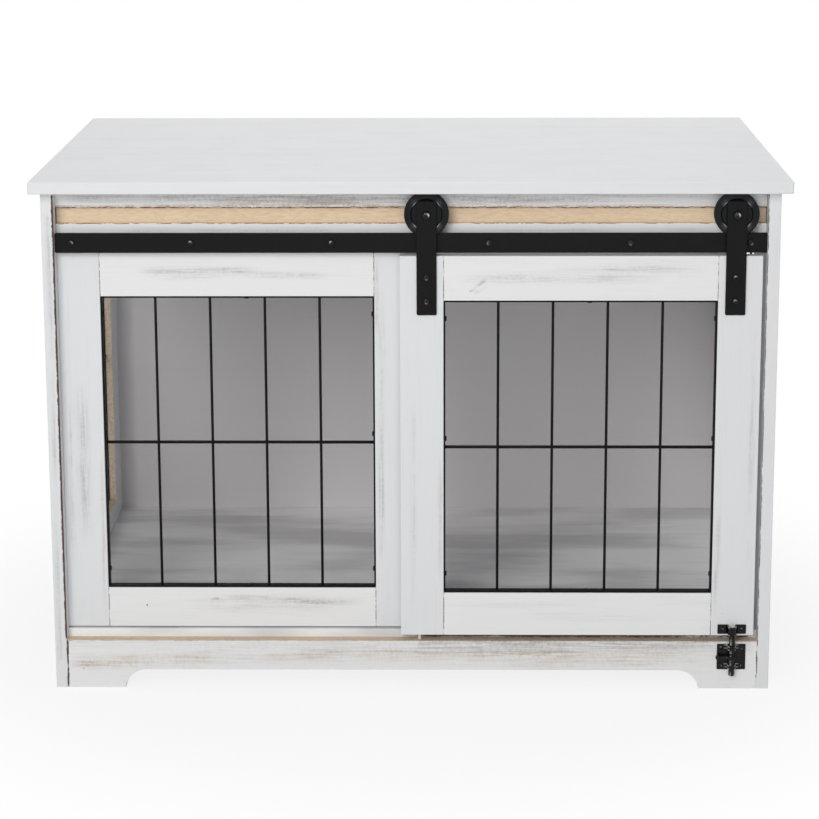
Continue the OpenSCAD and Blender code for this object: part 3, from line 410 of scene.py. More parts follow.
def rod(start: Place, end: Place, radius: float, around: int = 16) -> Skin:
    """Round bar between two points, with softly rounded ends.

    Args:
        start: One end.
        end: The other end.
        radius: Radius of the bar.
        around: Points per ring.

    Returns:
        The closed skin.
    """
    reach = np.array(end) - np.array(start)
    length = float(np.linalg.norm(reach))
    ease = min(0.5, radius * 0.4)
    near = np.array([[radius * 0.5, 0.0], [radius - ease, 0.0],
                     [radius - ease * 0.3, ease * 0.3], [radius, ease]])
    far = near[::-1] * (1.0, -1.0) + (0.0, length)
    profile = np.concatenate([near, [[radius, length / 2]], far])
    return tube(revolved(profile, around)).turned(towards(tuple(reach)), start)


# Marks on boards


def beside(points: np.ndarray, start: Place, end: Place) -> tuple[np.ndarray, ...]:
    """Where points lie beside a line.

    Args:
        points: Points, one per row.
        start: Start of the line.
        end: End of the line.

    Returns:
        Share of the line's length, distance from the line, and distance along it.
    """
    first, reach = np.array(start), np.array(end) - np.array(start)
    share = np.clip((points - first) @ reach / (reach @ reach), 0.0, 1.0)
    distance = np.linalg.norm(points - first - share[:, None] * reach, axis=1)
    return share, distance, share * np.linalg.norm(reach)


@dataclass(frozen=True)
class Mark:
    """A worn, raw, smeared or streaked line between two places on a board, in millimetres; some are
    painted shade.
    """

    trace: Trace
    start: Place
    end: Place
    width: float
    strength: float = 1.0
    broken: float = 0.5
    step: float = 9.0
    fade: float = 0.0
    seed: int = 1

    def values(self, points: np.ndarray) -> np.ndarray:
        """Bell curve of the distance from the line, broken up along it by a random curve.

        Args:
            points: Points, one per row.

        Returns:
            The mark's strength at each point.
        """
        share, distance, along = beside(points, self.start, self.end)
        fine = ripple(along, self.step * 0.27, self.seed + 50)
        rough = 0.6 * ripple(along, self.step, self.seed) + 0.4 * fine
        keep = np.clip(1.0 - self.broken + self.broken * 2.4 * (rough - 0.2), 0.0, 1.0)
        if self.fade:
            keep = keep * np.clip(np.minimum(share, 1.0 - share) / self.fade, 0.0, 1.0)
        return self.strength * np.exp(-(distance / self.width) ** 2) * keep


def strokes(y: float, rows: MarkRows) -> list[Mark]:
    """Marks on an upright face at one depth.

    Args:
        y: The face's depth.
        rows: For each trace, rows of x and z at the start, x and z at the end, and the mark's
            numbers from its width to its seed.

    Returns:
        The marks.
    """
    return [Mark(trace, (x0, y, z0), (x1, y, z1), *rest)
            for trace, lines in rows.items() for x0, z0, x1, z1, *rest in lines]


@dataclass(frozen=True)
class Chip:
    """Edge between two places whose material is chipped away in a direction, in millimetres."""

    start: Place
    end: Place
    inwards: Place
    depth: float
    reach: float = 1.1
    step: float = 3.0
    seed: int = 3

    def shift(self, points: np.ndarray) -> np.ndarray:
        """Step inwards: depth times a bell curve of the distance, where a random curve is high.

        Args:
            points: Points, one per row.

        Returns:
            A step for each point.
        """
        _, distance, along = beside(points, self.start, self.end)
        coarse = ripple(along, self.step * 3.7, self.seed + 9)
        rough = 0.5 * ripple(along, self.step, self.seed) + 0.5 * coarse
        depth = self.depth * np.clip((rough - CHIP_FROM) * 3.0, 0.0, 1.0)
        depth = depth * np.exp(-(distance / self.reach) ** 2)
        return depth[:, None] * np.array(self.inwards)


def node_box(node: str) -> tuple[np.ndarray, np.ndarray]:
    """Lowest and highest corner of a CAD node, in millimetres."""
    low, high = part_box(node)
    return np.array(low) / MM, np.array(high) / MM


@dataclass
class Board:
    """A board with eased edges where a CAD node's box is, with its marks and chips."""

    node: str
    grain: Grain
    ease: float = 0.8
    step: float = 4.0
    marks: list[Mark] = field(default_factory=list)
    chips: list[Chip] = field(default_factory=list)

    def outline(self, low: np.ndarray, high: np.ndarray) -> np.ndarray:
        """Outline across the grain, with few points away from the front.

        Args:
            low: Lowest corner of the board.
            high: Highest corner.

        Returns:
            The outline in the two other axes.
        """
        others = other_axes(self.grain.value)
        corners = soften(rectangle(low[others], high[others]), self.ease)
        return self._spaced(corners, low, others.index(1))

    def _spaced(self, outline: np.ndarray, low: np.ndarray, depth: int) -> np.ndarray:
        """Divides an outline a step apart on the front face and three steps apart elsewhere."""
        front = outline[:, depth] < low[1] + 1e-6
        return divide(outline, np.where(front & np.roll(front, -1), self.step, 3 * self.step))

    def shape(self) -> Skin:
        """Surface before its marks and chips.

        Returns:
            The closed skin.
        """
        low, high = node_box(self.node)
        axis = self.grain.value
        return carried(self.outline(low, high), axis, (low[axis], high[axis]), self.ease, self.step)

    def skin(self) -> Skin:
        """Finished surface, kept within the node's box.

        Returns:
            The skin with its marks.
        """
        skin = self.shape()
        for mark in self.marks:
            skin.mark(mark.trace, mark.values(skin.points))
        for chip in self.chips:
            skin.points = skin.points + chip.shift(skin.points)
        skin.points = np.clip(skin.points, *node_box(self.node))
        return skin


@dataclass
class GroovedDoorBoard(Board):
    """A door board with the guide's groove in its lower edge, drawn across and carried along X."""

    groove_w: float = 5.0
    groove_d: float = 9.0

    def shape(self) -> Skin:
        """Cross-section in Y and Z with the groove, carried along X.

        Returns:
            The closed skin.
        """
        low, high = node_box(self.node)
        middle, half, top = (low[1] + high[1]) / 2, self.groove_w / 2, low[2] + self.groove_d
        left, right = middle - half, middle + half
        corners = np.array([[low[1], low[2]], [left, low[2]], [left, top], [right, top],
                            [right, low[2]], [high[1], low[2]], [high[1], high[2]],
                            [low[1], high[2]]])
        reach = np.array([1.0, 0.25, 0.2, 0.2, 0.25, 1.0, 1.0, 1.0]) * self.ease
        outline = self._spaced(soften(corners, reach), low, 0)
        return carried(outline, 0, (low[0], high[0]), self.ease, self.step)


@dataclass
class HeaderBoard(Board):
    """The header: a groove of raw board runs along its face, its upper edge ragged."""

    groove_d: float = 6.0
    groove_low: float = 38.5
    groove_h: float = 20.0
    fine_step: float = 1.5

    def shape(self) -> Skin:
        """Cross-section in Y and Z with the groove, carried along X; the groove is raw.

        Returns:
            The closed skin.
        """
        low, high = node_box(self.node)
        depth, z0 = low[1] + self.groove_d, low[2] + self.groove_low
        z1 = z0 + self.groove_h
        corners = np.array([[low[1], low[2]], [low[1], z0], [depth, z0], [depth, z1], [low[1], z1],
                            [low[1], high[2]], [high[1], high[2]], [high[1], low[2]]])
        reach = np.array([1.0, 0.3, 0.3, 0.3, 0.3, 1.0, 1.0, 1.0]) * self.ease
        outline = self._spaced(soften(corners, reach), low, 0)
        skin = carried(outline, 0, (low[0], high[0]), self.ease, self.fine_step)
        y, z = skin.points[:, 1], skin.points[:, 2]
        near, past = 0.25, 0.3
        inside = (y > low[1] + near) & (y < depth + past) & (z > z0 - past) & (z < z1 + past)
        skin.mark(Trace.RAW, inside.astype(float))
        return skin


@dataclass
class ApronBoard(Board):
    """The apron: its lower edge rises into an arch with a round corner over each foot."""

    arch_x: float = 384.5
    arch_r: float = 29.0
    arch_h: float = 25.5
    raw_depth: float = 0.35

    def shape(self) -> Skin:
        """Cross-section in Y and Z carried along X.

        Over the middle its lower edge is at the arch's height; from one radius short of a foot it
        falls as a circle does: height = arch - r + sqrt(r squared - distance squared).

        Returns:
            The closed skin, its top edge raw.
        """
        low, high = node_box(self.node)
        outline = self.outline(low, high)
        centre = self.arch_x - self.arch_r
        angle = np.radians(np.linspace(0.0, 83.5, 22))
        curve = centre + self.arch_r * np.sin(angle)
        more = np.concatenate([-curve, curve])
        place, inset = stations(low[0], high[0], self.ease, self.step, more)
        away = np.clip(np.abs(place) - centre, 0.0, self.arch_r)
        rise = self.arch_h - self.arch_r + np.sqrt(self.arch_r ** 2 - away ** 2)
        rings = np.empty((len(place), len(outline), 3))
        rings[:, :, 0] = place[:, None]
        rings[:, :, 1:] = outline[None] - mitres(outline)[None] * inset[:, None, None]
        share = np.clip((high[2] - rings[:, :, 2]) / (high[2] - low[2]), 0.0, 1.0)
        rings[:, :, 2] = rings[:, :, 2] + share * np.maximum(rise, 0.0)[:, None]
        skin = tube(rings)
        skin.mark(Trace.RAW, (skin.points[:, 2] > high[2] - self.raw_depth).astype(float))
        return skin


@dataclass
class WindowBoard(Board):
    """A side panel: a flat ring of board round its window, whose cut edges are raw."""

    window: tuple[float, ...] = (-221.0, 109.0, 238.0, 565.0)
    face_rings: int = 14
    edge_rings: int = 6
    around: tuple[int, int] = (90, 300)

    def shape(self) -> Skin:
        """Profile carried round the window.

        Each point of the profile has a share from 0 at the panel's outer rectangle to 1 at the
        window's, an inset from that rectangle, and a place in the board's thickness.

        Returns:
            The closed skin.
        """
        low, high = node_box(self.node)
        outer, inner = np.array([low[1], low[2], high[1], high[2]]), np.array(self.window)
        thick, ease = high[0] - low[0], self.ease
        angle = np.linspace(0.0, math.pi / 2, 5)
        drawn, rise = ease * (1 - np.sin(angle)), ease * (1 - np.cos(angle))
        face = np.linspace(0.05, 0.95, self.face_rings)
        flat, wall = np.zeros(self.face_rings), np.zeros(self.edge_rings)
        near = ease + np.array(FLAT_MARGINS)
        edge = np.linspace(near[0], thick - ease - FLAT_MARGINS[0], self.edge_rings)
        share = np.concatenate([np.zeros(18), face, np.ones(20), face[::-1], np.zeros(2)])
        inset = np.concatenate([drawn, wall, drawn[::-1], near, flat, near[::-1]] * 2)
        place = np.concatenate([rise, edge, thick - rise[::-1], [thick] * 2, flat + thick,
                                [thick] * 2, thick - rise, edge[::-1], rise[::-1], [0.0] * 2,
                                flat, [0.0] * 2])
        bounds = outer[None] * (1 - share[:, None]) + inner[None] * share[:, None]
        sign = np.array([1.0, 1.0, -1.0, -1.0])
        inwards = np.where(share < 0.5, 1.0, -1.0)[:, None]
        bounds = bounds + sign[None] * inset[:, None] * inwards
        flat_n, tall_n = self.around
        run, climb = (np.linspace(0, 1, count, endpoint=False) for count in self.around)
        first = np.concatenate([run, np.ones(tall_n), 1 - run, np.zeros(tall_n)])
        second = np.concatenate([np.zeros(flat_n), climb, np.ones(flat_n), 1 - climb])
        rings = np.empty((len(share), len(first), 3))
        rings[:, :, 0] = low[0] + place[:, None]
        for axis, way in ((0, first), (1, second)):
            start, end = bounds[:, axis, None], bounds[:, axis + 2, None]
            rings[:, :, axis + 1] = start + (end - start) * way[None]
        skin = hoop(rings)
        cut = np.repeat((share > 0.999) & (inset < ease * 0.5), len(first)).astype(float)
        skin.mark(Trace.RAW, cut)
        skin.mark(Trace.STREAK_AND_SHADE, cut)
        return skin


# Ironwork


class Drive(Enum):
    """Recess in a screw's head."""

    CROSS = "cross"
    HEXAGON = "hexagon"


# A screw's dome: shares of the head's radius and height, from its recess to its underside
DOME = ((0.45, 0.985), (0.72, 0.9), (0.88, 0.74), (0.97, 0.5), (1.0, 0.28), (1.0, 0.06),
        (0.97, 0.0), (0.8, 0.0))
# How much each of the recess's outer rings is rubbed bright, partly wear and partly a painted
# highlight
RIM_WEAR_AND_GLINT = (0.3, 0.8, 0.9, 0.1)


@dataclass(frozen=True)
class Screw:
    """Domed head with a recess, and a shank with a thread, in millimetres."""

    head_d: float
    head_h: float
    shank_d: float
    length: float
    drive: Drive = Drive.CROSS
    recess: float = 0.5
    pitch: float = 1.4
    around: int = 32
    slot: float = 0.27
    thread: float = 0.16

    def recess_radius(self, angle: np.ndarray) -> np.ndarray:
        """Radius of the recess: a hexagon, or two crossed slots, whichever reaches further.

        Args:
            angle: Angles round the screw.

        Returns:
            A radius for each angle.
        """
        size = self.head_d * self.recess / 2
        if self.drive is Drive.HEXAGON:
            half = math.pi / 6
            return size * math.cos(half) / np.cos((angle + half) % (math.pi / 3) - half)
        cosine = np.maximum(np.abs(np.cos(angle)), 1e-6)
        sine = np.maximum(np.abs(np.sin(angle)), 1e-6)
        slim = size * self.slot
        return np.maximum(np.minimum(size / cosine, slim / sine),
                          np.minimum(slim / cosine, size / sine))

    def skin(self) -> Skin:
        """Rings from the recess's bottom over the dome and down the shank.

        A ring's radius is a blend of the recess's and a circle's. On the shank the radius falls
        by a triangle wave of height over pitch less the angle's share, which makes the thread.
        The recess's rim is rubbed bright on one side, by a power of the cosine of the angle: partly
        wear, partly a painted highlight.

        Returns:
            The screw, its head up and the head's underside at the origin.
        """
        angle = np.linspace(0.0, TURN, self.around, endpoint=False)
        recess, half, high = self.recess_radius(angle), self.head_d / 2, self.head_h
        deep, one = high * 0.25, np.ones(self.around)
        rings = [(recess * 0.35, deep), (recess * 0.82, deep), (recess * 0.95, high * 0.93),
                 (recess * 1.06, high)]
        rings += [(np.maximum(one * half * r, recess * 1.12) if r < 0.7 else one * half * r,
                   high * h) for r, h in DOME]
        height = np.arange(0.0, self.length - self.shank_d * 0.4, self.pitch / 5)
        turns = (height[:, None] / self.pitch - angle[None] / TURN) % 1.0
        wave = np.abs(2 * turns - 1.0)
        rings += [(self.shank_d / 2 * (1.0 - self.thread * w), -h) for h, w in zip(height, wave)]
        rings += [(one * self.shank_d * 0.22, -self.length + 0.3),
                  (one * self.shank_d * 0.06, -self.length)]
        radii = np.stack([r for r, _ in rings])
        heights = np.stack([np.broadcast_to(h, angle.shape) for _, h in rings])
        skin = tube(np.stack([radii * np.cos(angle), radii * np.sin(angle), heights], axis=-1))
        rim = np.zeros(len(radii))
        rim[2:6] = RIM_WEAR_AND_GLINT
        # Pale crescent on one side of the recess's rim: partly wear, partly a painted highlight.
        skin.mark(Trace.WEAR_SHADE_GLINT, (rim[:, None] * np.clip(np.cos(angle), 0.0, 1.0) ** 3).ravel())
        return skin

    def driven(self, place: Place, outwards: Place, turn: float = 0.7) -> Skin:
        """The screw with its head's underside at a place and its head pointing outwards.

        Args:
            place: Where the head's underside is.
            outwards: Where it points.
            turn: How far the screw is turned.

        Returns:
            The screw.
        """
        c, s = math.cos(turn), math.sin(turn)
        spin = np.array([[c, -s, 0], [s, c, 0], [0, 0, 1]])
        return self.skin().turned(towards(outwards) @ spin, place)

    def row(self, places: Iterable[tuple[Place, Place]], first: float, more: float) -> Skin:
        """Several in one skin.

        Args:
            places: Place and outward direction of each.
            first: Turn of the first.
            more: How much further each next one is turned.

        Returns:
            The screws.
        """
        return joined([self.driven(place, outwards, first + more * order)
                       for order, (place, outwards) in enumerate(places)])


@dataclass(frozen=True)
class Grille:
    """Flat rim with upright rods and a crossing rod behind them, welded, in millimetres."""

    low: Spot
    high: Spot
    front: float
    rim_w: float
    rods: int
    rim_t: float = 2.2
    clear: float = 0.15
    rod_d: float = 3.6
    cross_d: float = 4.2
    gap: float = 0.1
    bend: float = 2.5
    sunk: float = 0.2
    bead: float = 0.3
    weld: Place = (1.7, 1.1, 1.7)
    rod_weld: Place = (2.7, 2.6, 0.9)
    cross_weld: Place = (0.9, 2.3, 2.9)
    weld_in: float = 2.4

    def rim(self) -> Skin:
        """Flat bar carried round the rectangle with bent corners.

        Returns:
            The closed skin.
        """
        a, b = np.array(self.low) + self.clear, np.array(self.high) - self.clear
        path = divide(soften(rectangle(a, b), self.bend, 5), 25.0)
        flat = rectangle((0, 0), (self.rim_t, self.rim_w))
        section = divide(soften(flat, 0.45, 3, (0.2,)), WHOLE)
        rings = np.empty((len(path), len(section), 3))
        rings[:, :, [0, 2]] = path[:, None] - mitres(path)[:, None] * section[None, :, :1]
        rings[:, :, 1] = self.front + section[None, :, 1]
        return hoop(rings)

    def skin(self) -> Skin:
        """Rim, rods and weld beads.

        Returns:
            All parts in one skin.
        """
        (x0, z0), (x1, z1) = self.low, self.high
        edge = self.clear + self.rim_t - self.sunk
        middle_y, middle_z = self.front + self.rim_w / 2, (z0 + z1) / 2
        rod_y = middle_y - (self.rod_d + self.gap) / 2
        cross_y = middle_y + (self.cross_d + self.gap) / 2
        bar = rod((x0 + edge, cross_y, middle_z), (x1 - edge, cross_y, middle_z), self.cross_d / 2)
        parts = [self.rim(), bar]
        foot = (self.rod_weld[0], min(self.rod_weld[1], self.rim_w * 0.3), self.rod_weld[2])
        for index in range(self.rods):
            x = x0 + (index + 1) * (x1 - x0) / (self.rods + 1)
            parts.append(rod((x, rod_y, z0 + edge), (x, rod_y, z1 - edge), self.rod_d / 2))
            parts.append(ellipsoid((x, middle_y, middle_z), self.weld))
            parts += [ellipsoid((x, rod_y, z), foot)
                      for z in (z0 + edge + self.bead, z1 - edge - self.bead)]
        bead_y = min(cross_y, self.front + self.rim_w - self.weld_in)
        parts += [ellipsoid((x, bead_y, middle_z), self.cross_weld)
                  for x in (x0 + edge + self.bead, x1 - edge - self.bead)]
        return joined(parts)


def placed(name: str, data: bpy.types.ID) -> bpy.types.Object:
    """New object of some data, linked to the scene.

    Args:
        name: The object's name.
        data: Its mesh, light or camera.

    Returns:
        The object.
    """
    made = bpy.data.objects.new(name, data)
    bpy.context.scene.collection.objects.link(made)
    return made


@dataclass
class Shop:
    """Turns skins into finished pieces that ride on their bodies."""

    record: dict
    sharp: float = 34.0

    def __post_init__(self) -> None:
        """Looks up each node's body and slot."""
        groups = self.record["behaviour"]["bodies"]
        self.bodies = {node: body for body, nodes in groups.items() for node in nodes}
        self.slots = {part["node"]: part["material_slot"] for part in self.record["subparts"]}

    def make(self, name: str, skin: Skin, material: bpy.types.Material, *nodes: str) -> None:
        """Makes the piece that stands for some CAD nodes.

        Args:
            name: Name of the piece.
            skin: Its surface.
            material: Its finish.
            nodes: CAD nodes that it replaces; the first gives its body.
        """
        mesh = bpy.data.meshes.new(name)
        mesh.from_pydata((skin.points * MM).tolist(), [], skin.quads.tolist() + skin.caps)
        for mark, values in skin.marks.items():
            layer = mesh.attributes.new(mark, "FLOAT", "POINT")
            layer.data.foreach_set("value", values.astype(np.float32))
        mesh.shade_smooth()
        mesh.set_sharp_from_angle(angle=math.radians(self.sharp))
        mesh.materials.append(material)
        mesh.update()
        piece = placed(name, mesh)
        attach(piece, self.bodies[nodes[0]])
        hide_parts(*nodes)
        LOG.info("%s: %d faces, rides on %s", name, len(mesh.polygons), self.bodies[nodes[0]])

    def dress(self, material: bpy.types.Material, *nodes: str) -> None:
        """Gives CAD nodes a material in place of their own.

        Args:
            material: The finish.
            nodes: The CAD nodes.
        """
        for node in nodes:
            mesh = frame["nodes"][node].data
            mesh.materials.clear()
            mesh.materials.append(material)
            LOG.info("%s: CAD node with its own finish", node)


# Shader graphs


def math_node(operation: str, swapped: bool = False) -> Callable[["Value", object], "Value"]:
    """Method of Value that adds a Math node.

    Args:
        operation: The node's operation.
        swapped: Whether the other operand comes first, as in a reflected operator.

    Returns:
        The method.
    """
    def method(self: "Value", other: object) -> "Value":
        """Adds the node to both operands.

        Args:
            other: A Value or a number.

        Returns:
            The node's output.
        """
        first, second = (other, self) if swapped else (self, other)
        node = self.graph.node("ShaderNodeMath", {"operation": operation}, {0: first, 1: second})
        return Value(self.graph, node.outputs[0])
    return method


class Value:
    """A number in a shader: wraps a socket, so that arithmetic on it adds Math nodes."""

    __add__, __radd__ = math_node("ADD"), math_node("ADD", swapped=True)
    __sub__, __rsub__ = math_node("SUBTRACT"), math_node("SUBTRACT", swapped=True)
    __mul__, __rmul__ = math_node("MULTIPLY"), math_node("MULTIPLY", swapped=True)
    larger = math_node("MAXIMUM")

    def __init__(self, graph: "Graph", socket: bpy.types.NodeSocket) -> None:
        """Keeps the graph and the socket."""
        self.graph = graph
        self.socket = socket

    def ramp(self, low: float, high: float) -> "Value":
        """Smooth step from 0 at low to 1 at high.

        Args:
            low: Value that gives 0.
            high: Value that gives 1.

        Returns:
            The stepped value.
        """
        values = {"Value": self, "From Min": low, "From Max": high, "To Min": 0.0, "To Max": 1.0}
        node = self.graph.node("ShaderNodeMapRange", {"interpolation_type": "SMOOTHSTEP"}, values)
        return Value(self.graph, node.outputs["Result"])


class Graph:
    """A node tree, with the few builders that the finishes need."""

    def __init__(self, tree: bpy.types.NodeTree) -> None:
        """Empties the tree."""
        self.tree = tree
        self.tree.nodes.clear()

    def node(self, kind: str, settings: dict | None = None,
             values: dict | None = None) -> bpy.types.Node:
        """Adds a node, sets it up and feeds it.

        Args:
            kind: The node's type.
            settings: Properties that are set first.
            values: Socket name or number to a number, a colour, a socket or a Value.

        Returns:
            The node.
        """
        made = self.tree.nodes.new(kind)
        for key, setting in (settings or {}).items():
            setattr(made, key, setting)
        for key, value in (values or {}).items():
            self.feed(made.inputs[key], value)
        return made

    def feed(self, socket: bpy.types.NodeSocket, value: object) -> None:
        """Links a Value or a socket to a socket, or sets a constant on it.

        Args:
            socket: The input.
            value: Value, socket, colour or number.
        """
        if isinstance(value, Value):
            self.tree.links.new(value.socket, socket)
        elif isinstance(value, bpy.types.NodeSocket):
            self.tree.links.new(value, socket)
        elif isinstance(value, (tuple, list)) and socket.type == "RGBA":
            socket.default_value = (*value, 1.0)
        else:
            socket.default_value = value

    def rays(self, *kinds: str) -> Value:
        """Light Path's 1 for rays of any of the named kinds, 0 for the rest.

        Args:
            kinds: Kinds of ray, as the node's outputs name them.

        Returns:
            1 or 0.
        """
        path = self.node("ShaderNodeLightPath")
        seen, *more = (Value(self, path.outputs[f"Is {kind} Ray"]) for kind in kinds)
        for value in more:
            seen = seen.larger(value)
        return seen


class Finish(Graph):
    """A material's node tree round one Principled shader."""

    def __init__(self, name: str) -> None:
        """Starts a material of that name.

        Args:
            name: The material's name.
        """
        self.material = bpy.data.materials.new(name)
        self.material.use_nodes = True
        super().__init__(self.material.node_tree)
        self.shader = self.node("ShaderNodeBsdfPrincipled")
        self.output = self.node("ShaderNodeOutputMaterial", None,
                                {"Surface": self.shader.outputs[0]})
        self.place = self.node("ShaderNodeTexCoord").outputs["Object"]

    def set(self, **values: object) -> None:
        """Feeds the Principled shader's sockets, with _ for the spaces in their names."""
        for key, value in values.items():
            self.feed(self.shader.inputs[key.replace("_", " ")], value)

    def stretched(self, grain: Grain, along: float, across: float) -> bpy.types.NodeSocket:
        """Object coordinates scaled so that a pattern runs along the grain.

        Args:
            grain: Direction of the fibres.
            along: Scale in that direction.
            across: Scale in the other two.

        Returns:
            The Mapping node's vector.
        """
        scale = [across] * 3
        scale[grain.value] = along
        values = {"Vector": self.place, "Scale": scale}
        return self.node("ShaderNodeMapping", None, values).outputs[0]

    def noise(self, vector: bpy.types.NodeSocket, scale: float, detail: float = 3.0,
              rough: float = 0.55, distortion: float = 0.0) -> Value:
        """Noise texture between 0 and 1.

        Args:
            vector: Coordinates.
            scale: Cells per metre of those coordinates.
            detail: Octaves.
            rough: Share of each next octave.
            distortion: Warp of the coordinates.

        Returns:
            The noise.
        """
        values = {"Vector": vector, "Scale": scale, "Detail": detail, "Roughness": rough,
                  "Distortion": distortion}
        return Value(self, self.node("ShaderNodeTexNoise", None, values).outputs["Fac"])

    def grained(self, grain: Grain, along: float, across: float, *rest: float) -> Value:
        """Noise stretched along the grain, with noise's numbers from its detail on."""
        return self.noise(self.stretched(grain, along, across), 1.0, *rest)

    def trace(self, trace: Trace) -> Value:
        """A piece's own mark per point, 0 where it has none."""
        node = self.node("ShaderNodeAttribute", {"attribute_name": trace.value})
        return Value(self, node.outputs["Fac"])

    def mix(self, factor: object, first: object, second: object) -> bpy.types.NodeSocket:
        """Mix of two colours.

        Args:
            factor: 0 for the first, 1 for the second.
            first: Colour or socket.
            second: Colour or socket.

        Returns:
            The mixed colour's socket.
        """
        node = self.node("ShaderNodeMix", {"data_type": "RGBA", "clamp_factor": True},
                         {0: factor, 6: first, 7: second})
        return node.outputs[2]

    def bump(self, height: Value, strength: float, distance: float) -> bpy.types.NodeSocket:
        """Bump normal from a height in parts of the distance, in millimetres."""
        values = {"Height": height, "Strength": strength, "Distance": distance * MM}
        return self.node("ShaderNodeBump", None, values).outputs[0]


@dataclass(frozen=True)
class PaintedBoard:
    """White distressed paint on board, with raw core, worn edges, smears and streaks by marks; some
    marks are painted shade.
    """

    name: str
    grain: Grain
    paint: Colour = (0.765, 0.767, 0.765)
    shade: Colour = (0.60, 0.61, 0.62)
    # The smear, streak, worn and dust colours also paint shade where a board's marks stand for it.
    smear: Colour = (0.44, 0.325, 0.23)
    streak: Colour = (0.33, 0.315, 0.305)
    worn: Colour = (0.085, 0.040, 0.030)
    core: Colour = (0.76, 0.61, 0.44)
    core_dark: Colour = (0.60, 0.45, 0.30)
    dust: Colour = (0.36, 0.31, 0.27)
    streaks: float = 0.5
    clouded: float = 0.0
    roughness: float = 0.5

    def material(self) -> bpy.types.Material:
        """Builds the finish.

        Returns:
            The material.
        """
        f, grain = Finish(self.name), self.grain
        fibres = f.grained(grain, 14.0, 380.0, 4.0, 0.65, 0.5)
        brushed = f.grained(grain, 3.0, 85.0, 3.0, 0.6, 0.8)
        combs = f.grained(grain, 240.0, 190.0, 3.0, 0.7)
        clouds = f.grained(grain, 3.0, 11.0)
        grit = f.noise(f.place, 900.0, 2.0)
        chips = f.grained(grain, 150.0, 500.0, 3.0, 0.7)
        tone = fibres.ramp(0.52, 0.74) * 0.45 + brushed.ramp(0.55, 0.8) * 0.55
        tone = tone * self.streaks + clouds.ramp(0.4, 0.66) * self.clouded
        colour = f.mix(tone, self.paint, self.shade)
        film = fibres.ramp(0.38, 0.62) * 0.6 + combs.ramp(0.42, 0.64) * 0.3 + 0.15
        film = film * brushed.ramp(0.2, 0.6)
        # Smears, streaks, worn marks and the dusty raw core also carry painted shade where a
        # board's marks stand for it.
        colour = f.mix(f.trace(Trace.SMEAR_AND_SHADE) * film, colour, self.smear)
        colour = f.mix(f.trace(Trace.STREAK_AND_SHADE) * film * 0.9, colour, self.streak)
        bare = (f.trace(Trace.WEAR_SHADE_GLINT) + chips * 0.8 - 0.8).ramp(0.0, 0.22)
        colour = f.mix(bare, colour, self.worn)
        specks = f.grained(grain, 90.0, 520.0, 3.0, 0.7)
        core_tone = specks.ramp(0.35, 0.75) * 0.7 + clouds.ramp(0.4, 0.7) * 0.2
        core = f.mix(core_tone, self.core, self.core_dark)
        dusty = f.trace(Trace.STREAK_AND_SHADE) * (0.35 + combs.ramp(0.4, 0.65) * 0.4)
        torn = (f.trace(Trace.RAW) + (chips - 0.5) * 0.7).ramp(0.42, 0.58)
        f.set(Base_Color=f.mix(torn, colour, f.mix(dusty, core, self.dust)))
        f.set(Roughness=self.roughness + (1.0 - fibres) * 0.12 + torn * 0.3)
        height = fibres * 0.5 + brushed * 0.35 + grit * 0.12 - torn * 0.4 - bare * 0.6
        f.set(Normal=f.bump(height, 0.35, 0.25))
        f.set(Specular_IOR_Level=0.35)
        return f.material


@dataclass(frozen=True)
class SmoothPanel:
    """Smooth white foil on a panel, with a faint brushed grain and slight marks."""

    name: str
    grain: Grain
    base: Colour = (0.725, 0.73, 0.74)
    shade: Colour = (0.62, 0.62, 0.63)
    streaks: float = 0.4
    roughness: float = 0.42

    def material(self) -> bpy.types.Material:
        """Builds the finish.

        Returns:
            The material.
        """
        f = Finish(self.name)
        lines = f.grained(self.grain, 3.0, 150.0, 4.0, 0.6, 0.3)
        bands = f.grained(self.grain, 1.2, 26.0, 3.0, 0.5, 0.6)
        marks = f.noise(f.place, 18.0, 3.0)
        tone = lines.ramp(0.45, 0.75) * 0.5 + bands.ramp(0.45, 0.8) * 0.5
        f.set(Base_Color=f.mix(tone * self.streaks, self.base, self.shade))
        f.set(Roughness=self.roughness + marks.ramp(0.4, 0.7) * 0.1)
        f.set(Normal=f.bump(lines * 0.6 + bands * 0.4, 0.2, 0.12))
        f.set(Specular_IOR_Level=0.4)
        return f.material


@dataclass(frozen=True)
class BlackCoat:
    """Satin black powder coat on steel: fine orange peel, dust, and pale painted highlights where a
    piece is marked.
    """

    name: str
    base: Colour = (0.003, 0.003, 0.0033)
    painted_glint: Colour = (0.06, 0.06, 0.063)
    dust: Colour = (0.009, 0.0088, 0.0086)
    peel: float = 0.25
    roughness: float = 0.42
    gloss: float = 0.11

    def material(self) -> bpy.types.Material:
        """Builds the finish.

        Returns:
            The material.
        """
        f = Finish(self.name)
        peel = f.noise(f.place, 1400.0, 2.0, 0.5)
        blotches = f.noise(f.place, 38.0, 4.0, 0.6)
        specks = f.noise(f.place, 700.0, 3.0, 0.7)
        dusty = blotches.ramp(0.5, 0.75) * 0.35 + specks.ramp(0.66, 0.74) * 0.3
        # Painted highlights: where a piece is marked, the coat turns pale and glossier.
        worn = f.trace(Trace.WEAR_SHADE_GLINT) * (0.3 + specks.ramp(0.3, 0.6) * 0.7)
        f.set(Base_Color=f.mix(worn, f.mix(dusty, self.base, self.dust), self.painted_glint))
        f.set(Roughness=self.roughness + blotches.ramp(0.3, 0.7) * 0.16 - worn * 0.15)
        f.set(Normal=f.bump(peel + blotches * 0.5, self.peel, 0.08))
        f.set(Specular_IOR_Level=self.gloss)
        return f.material


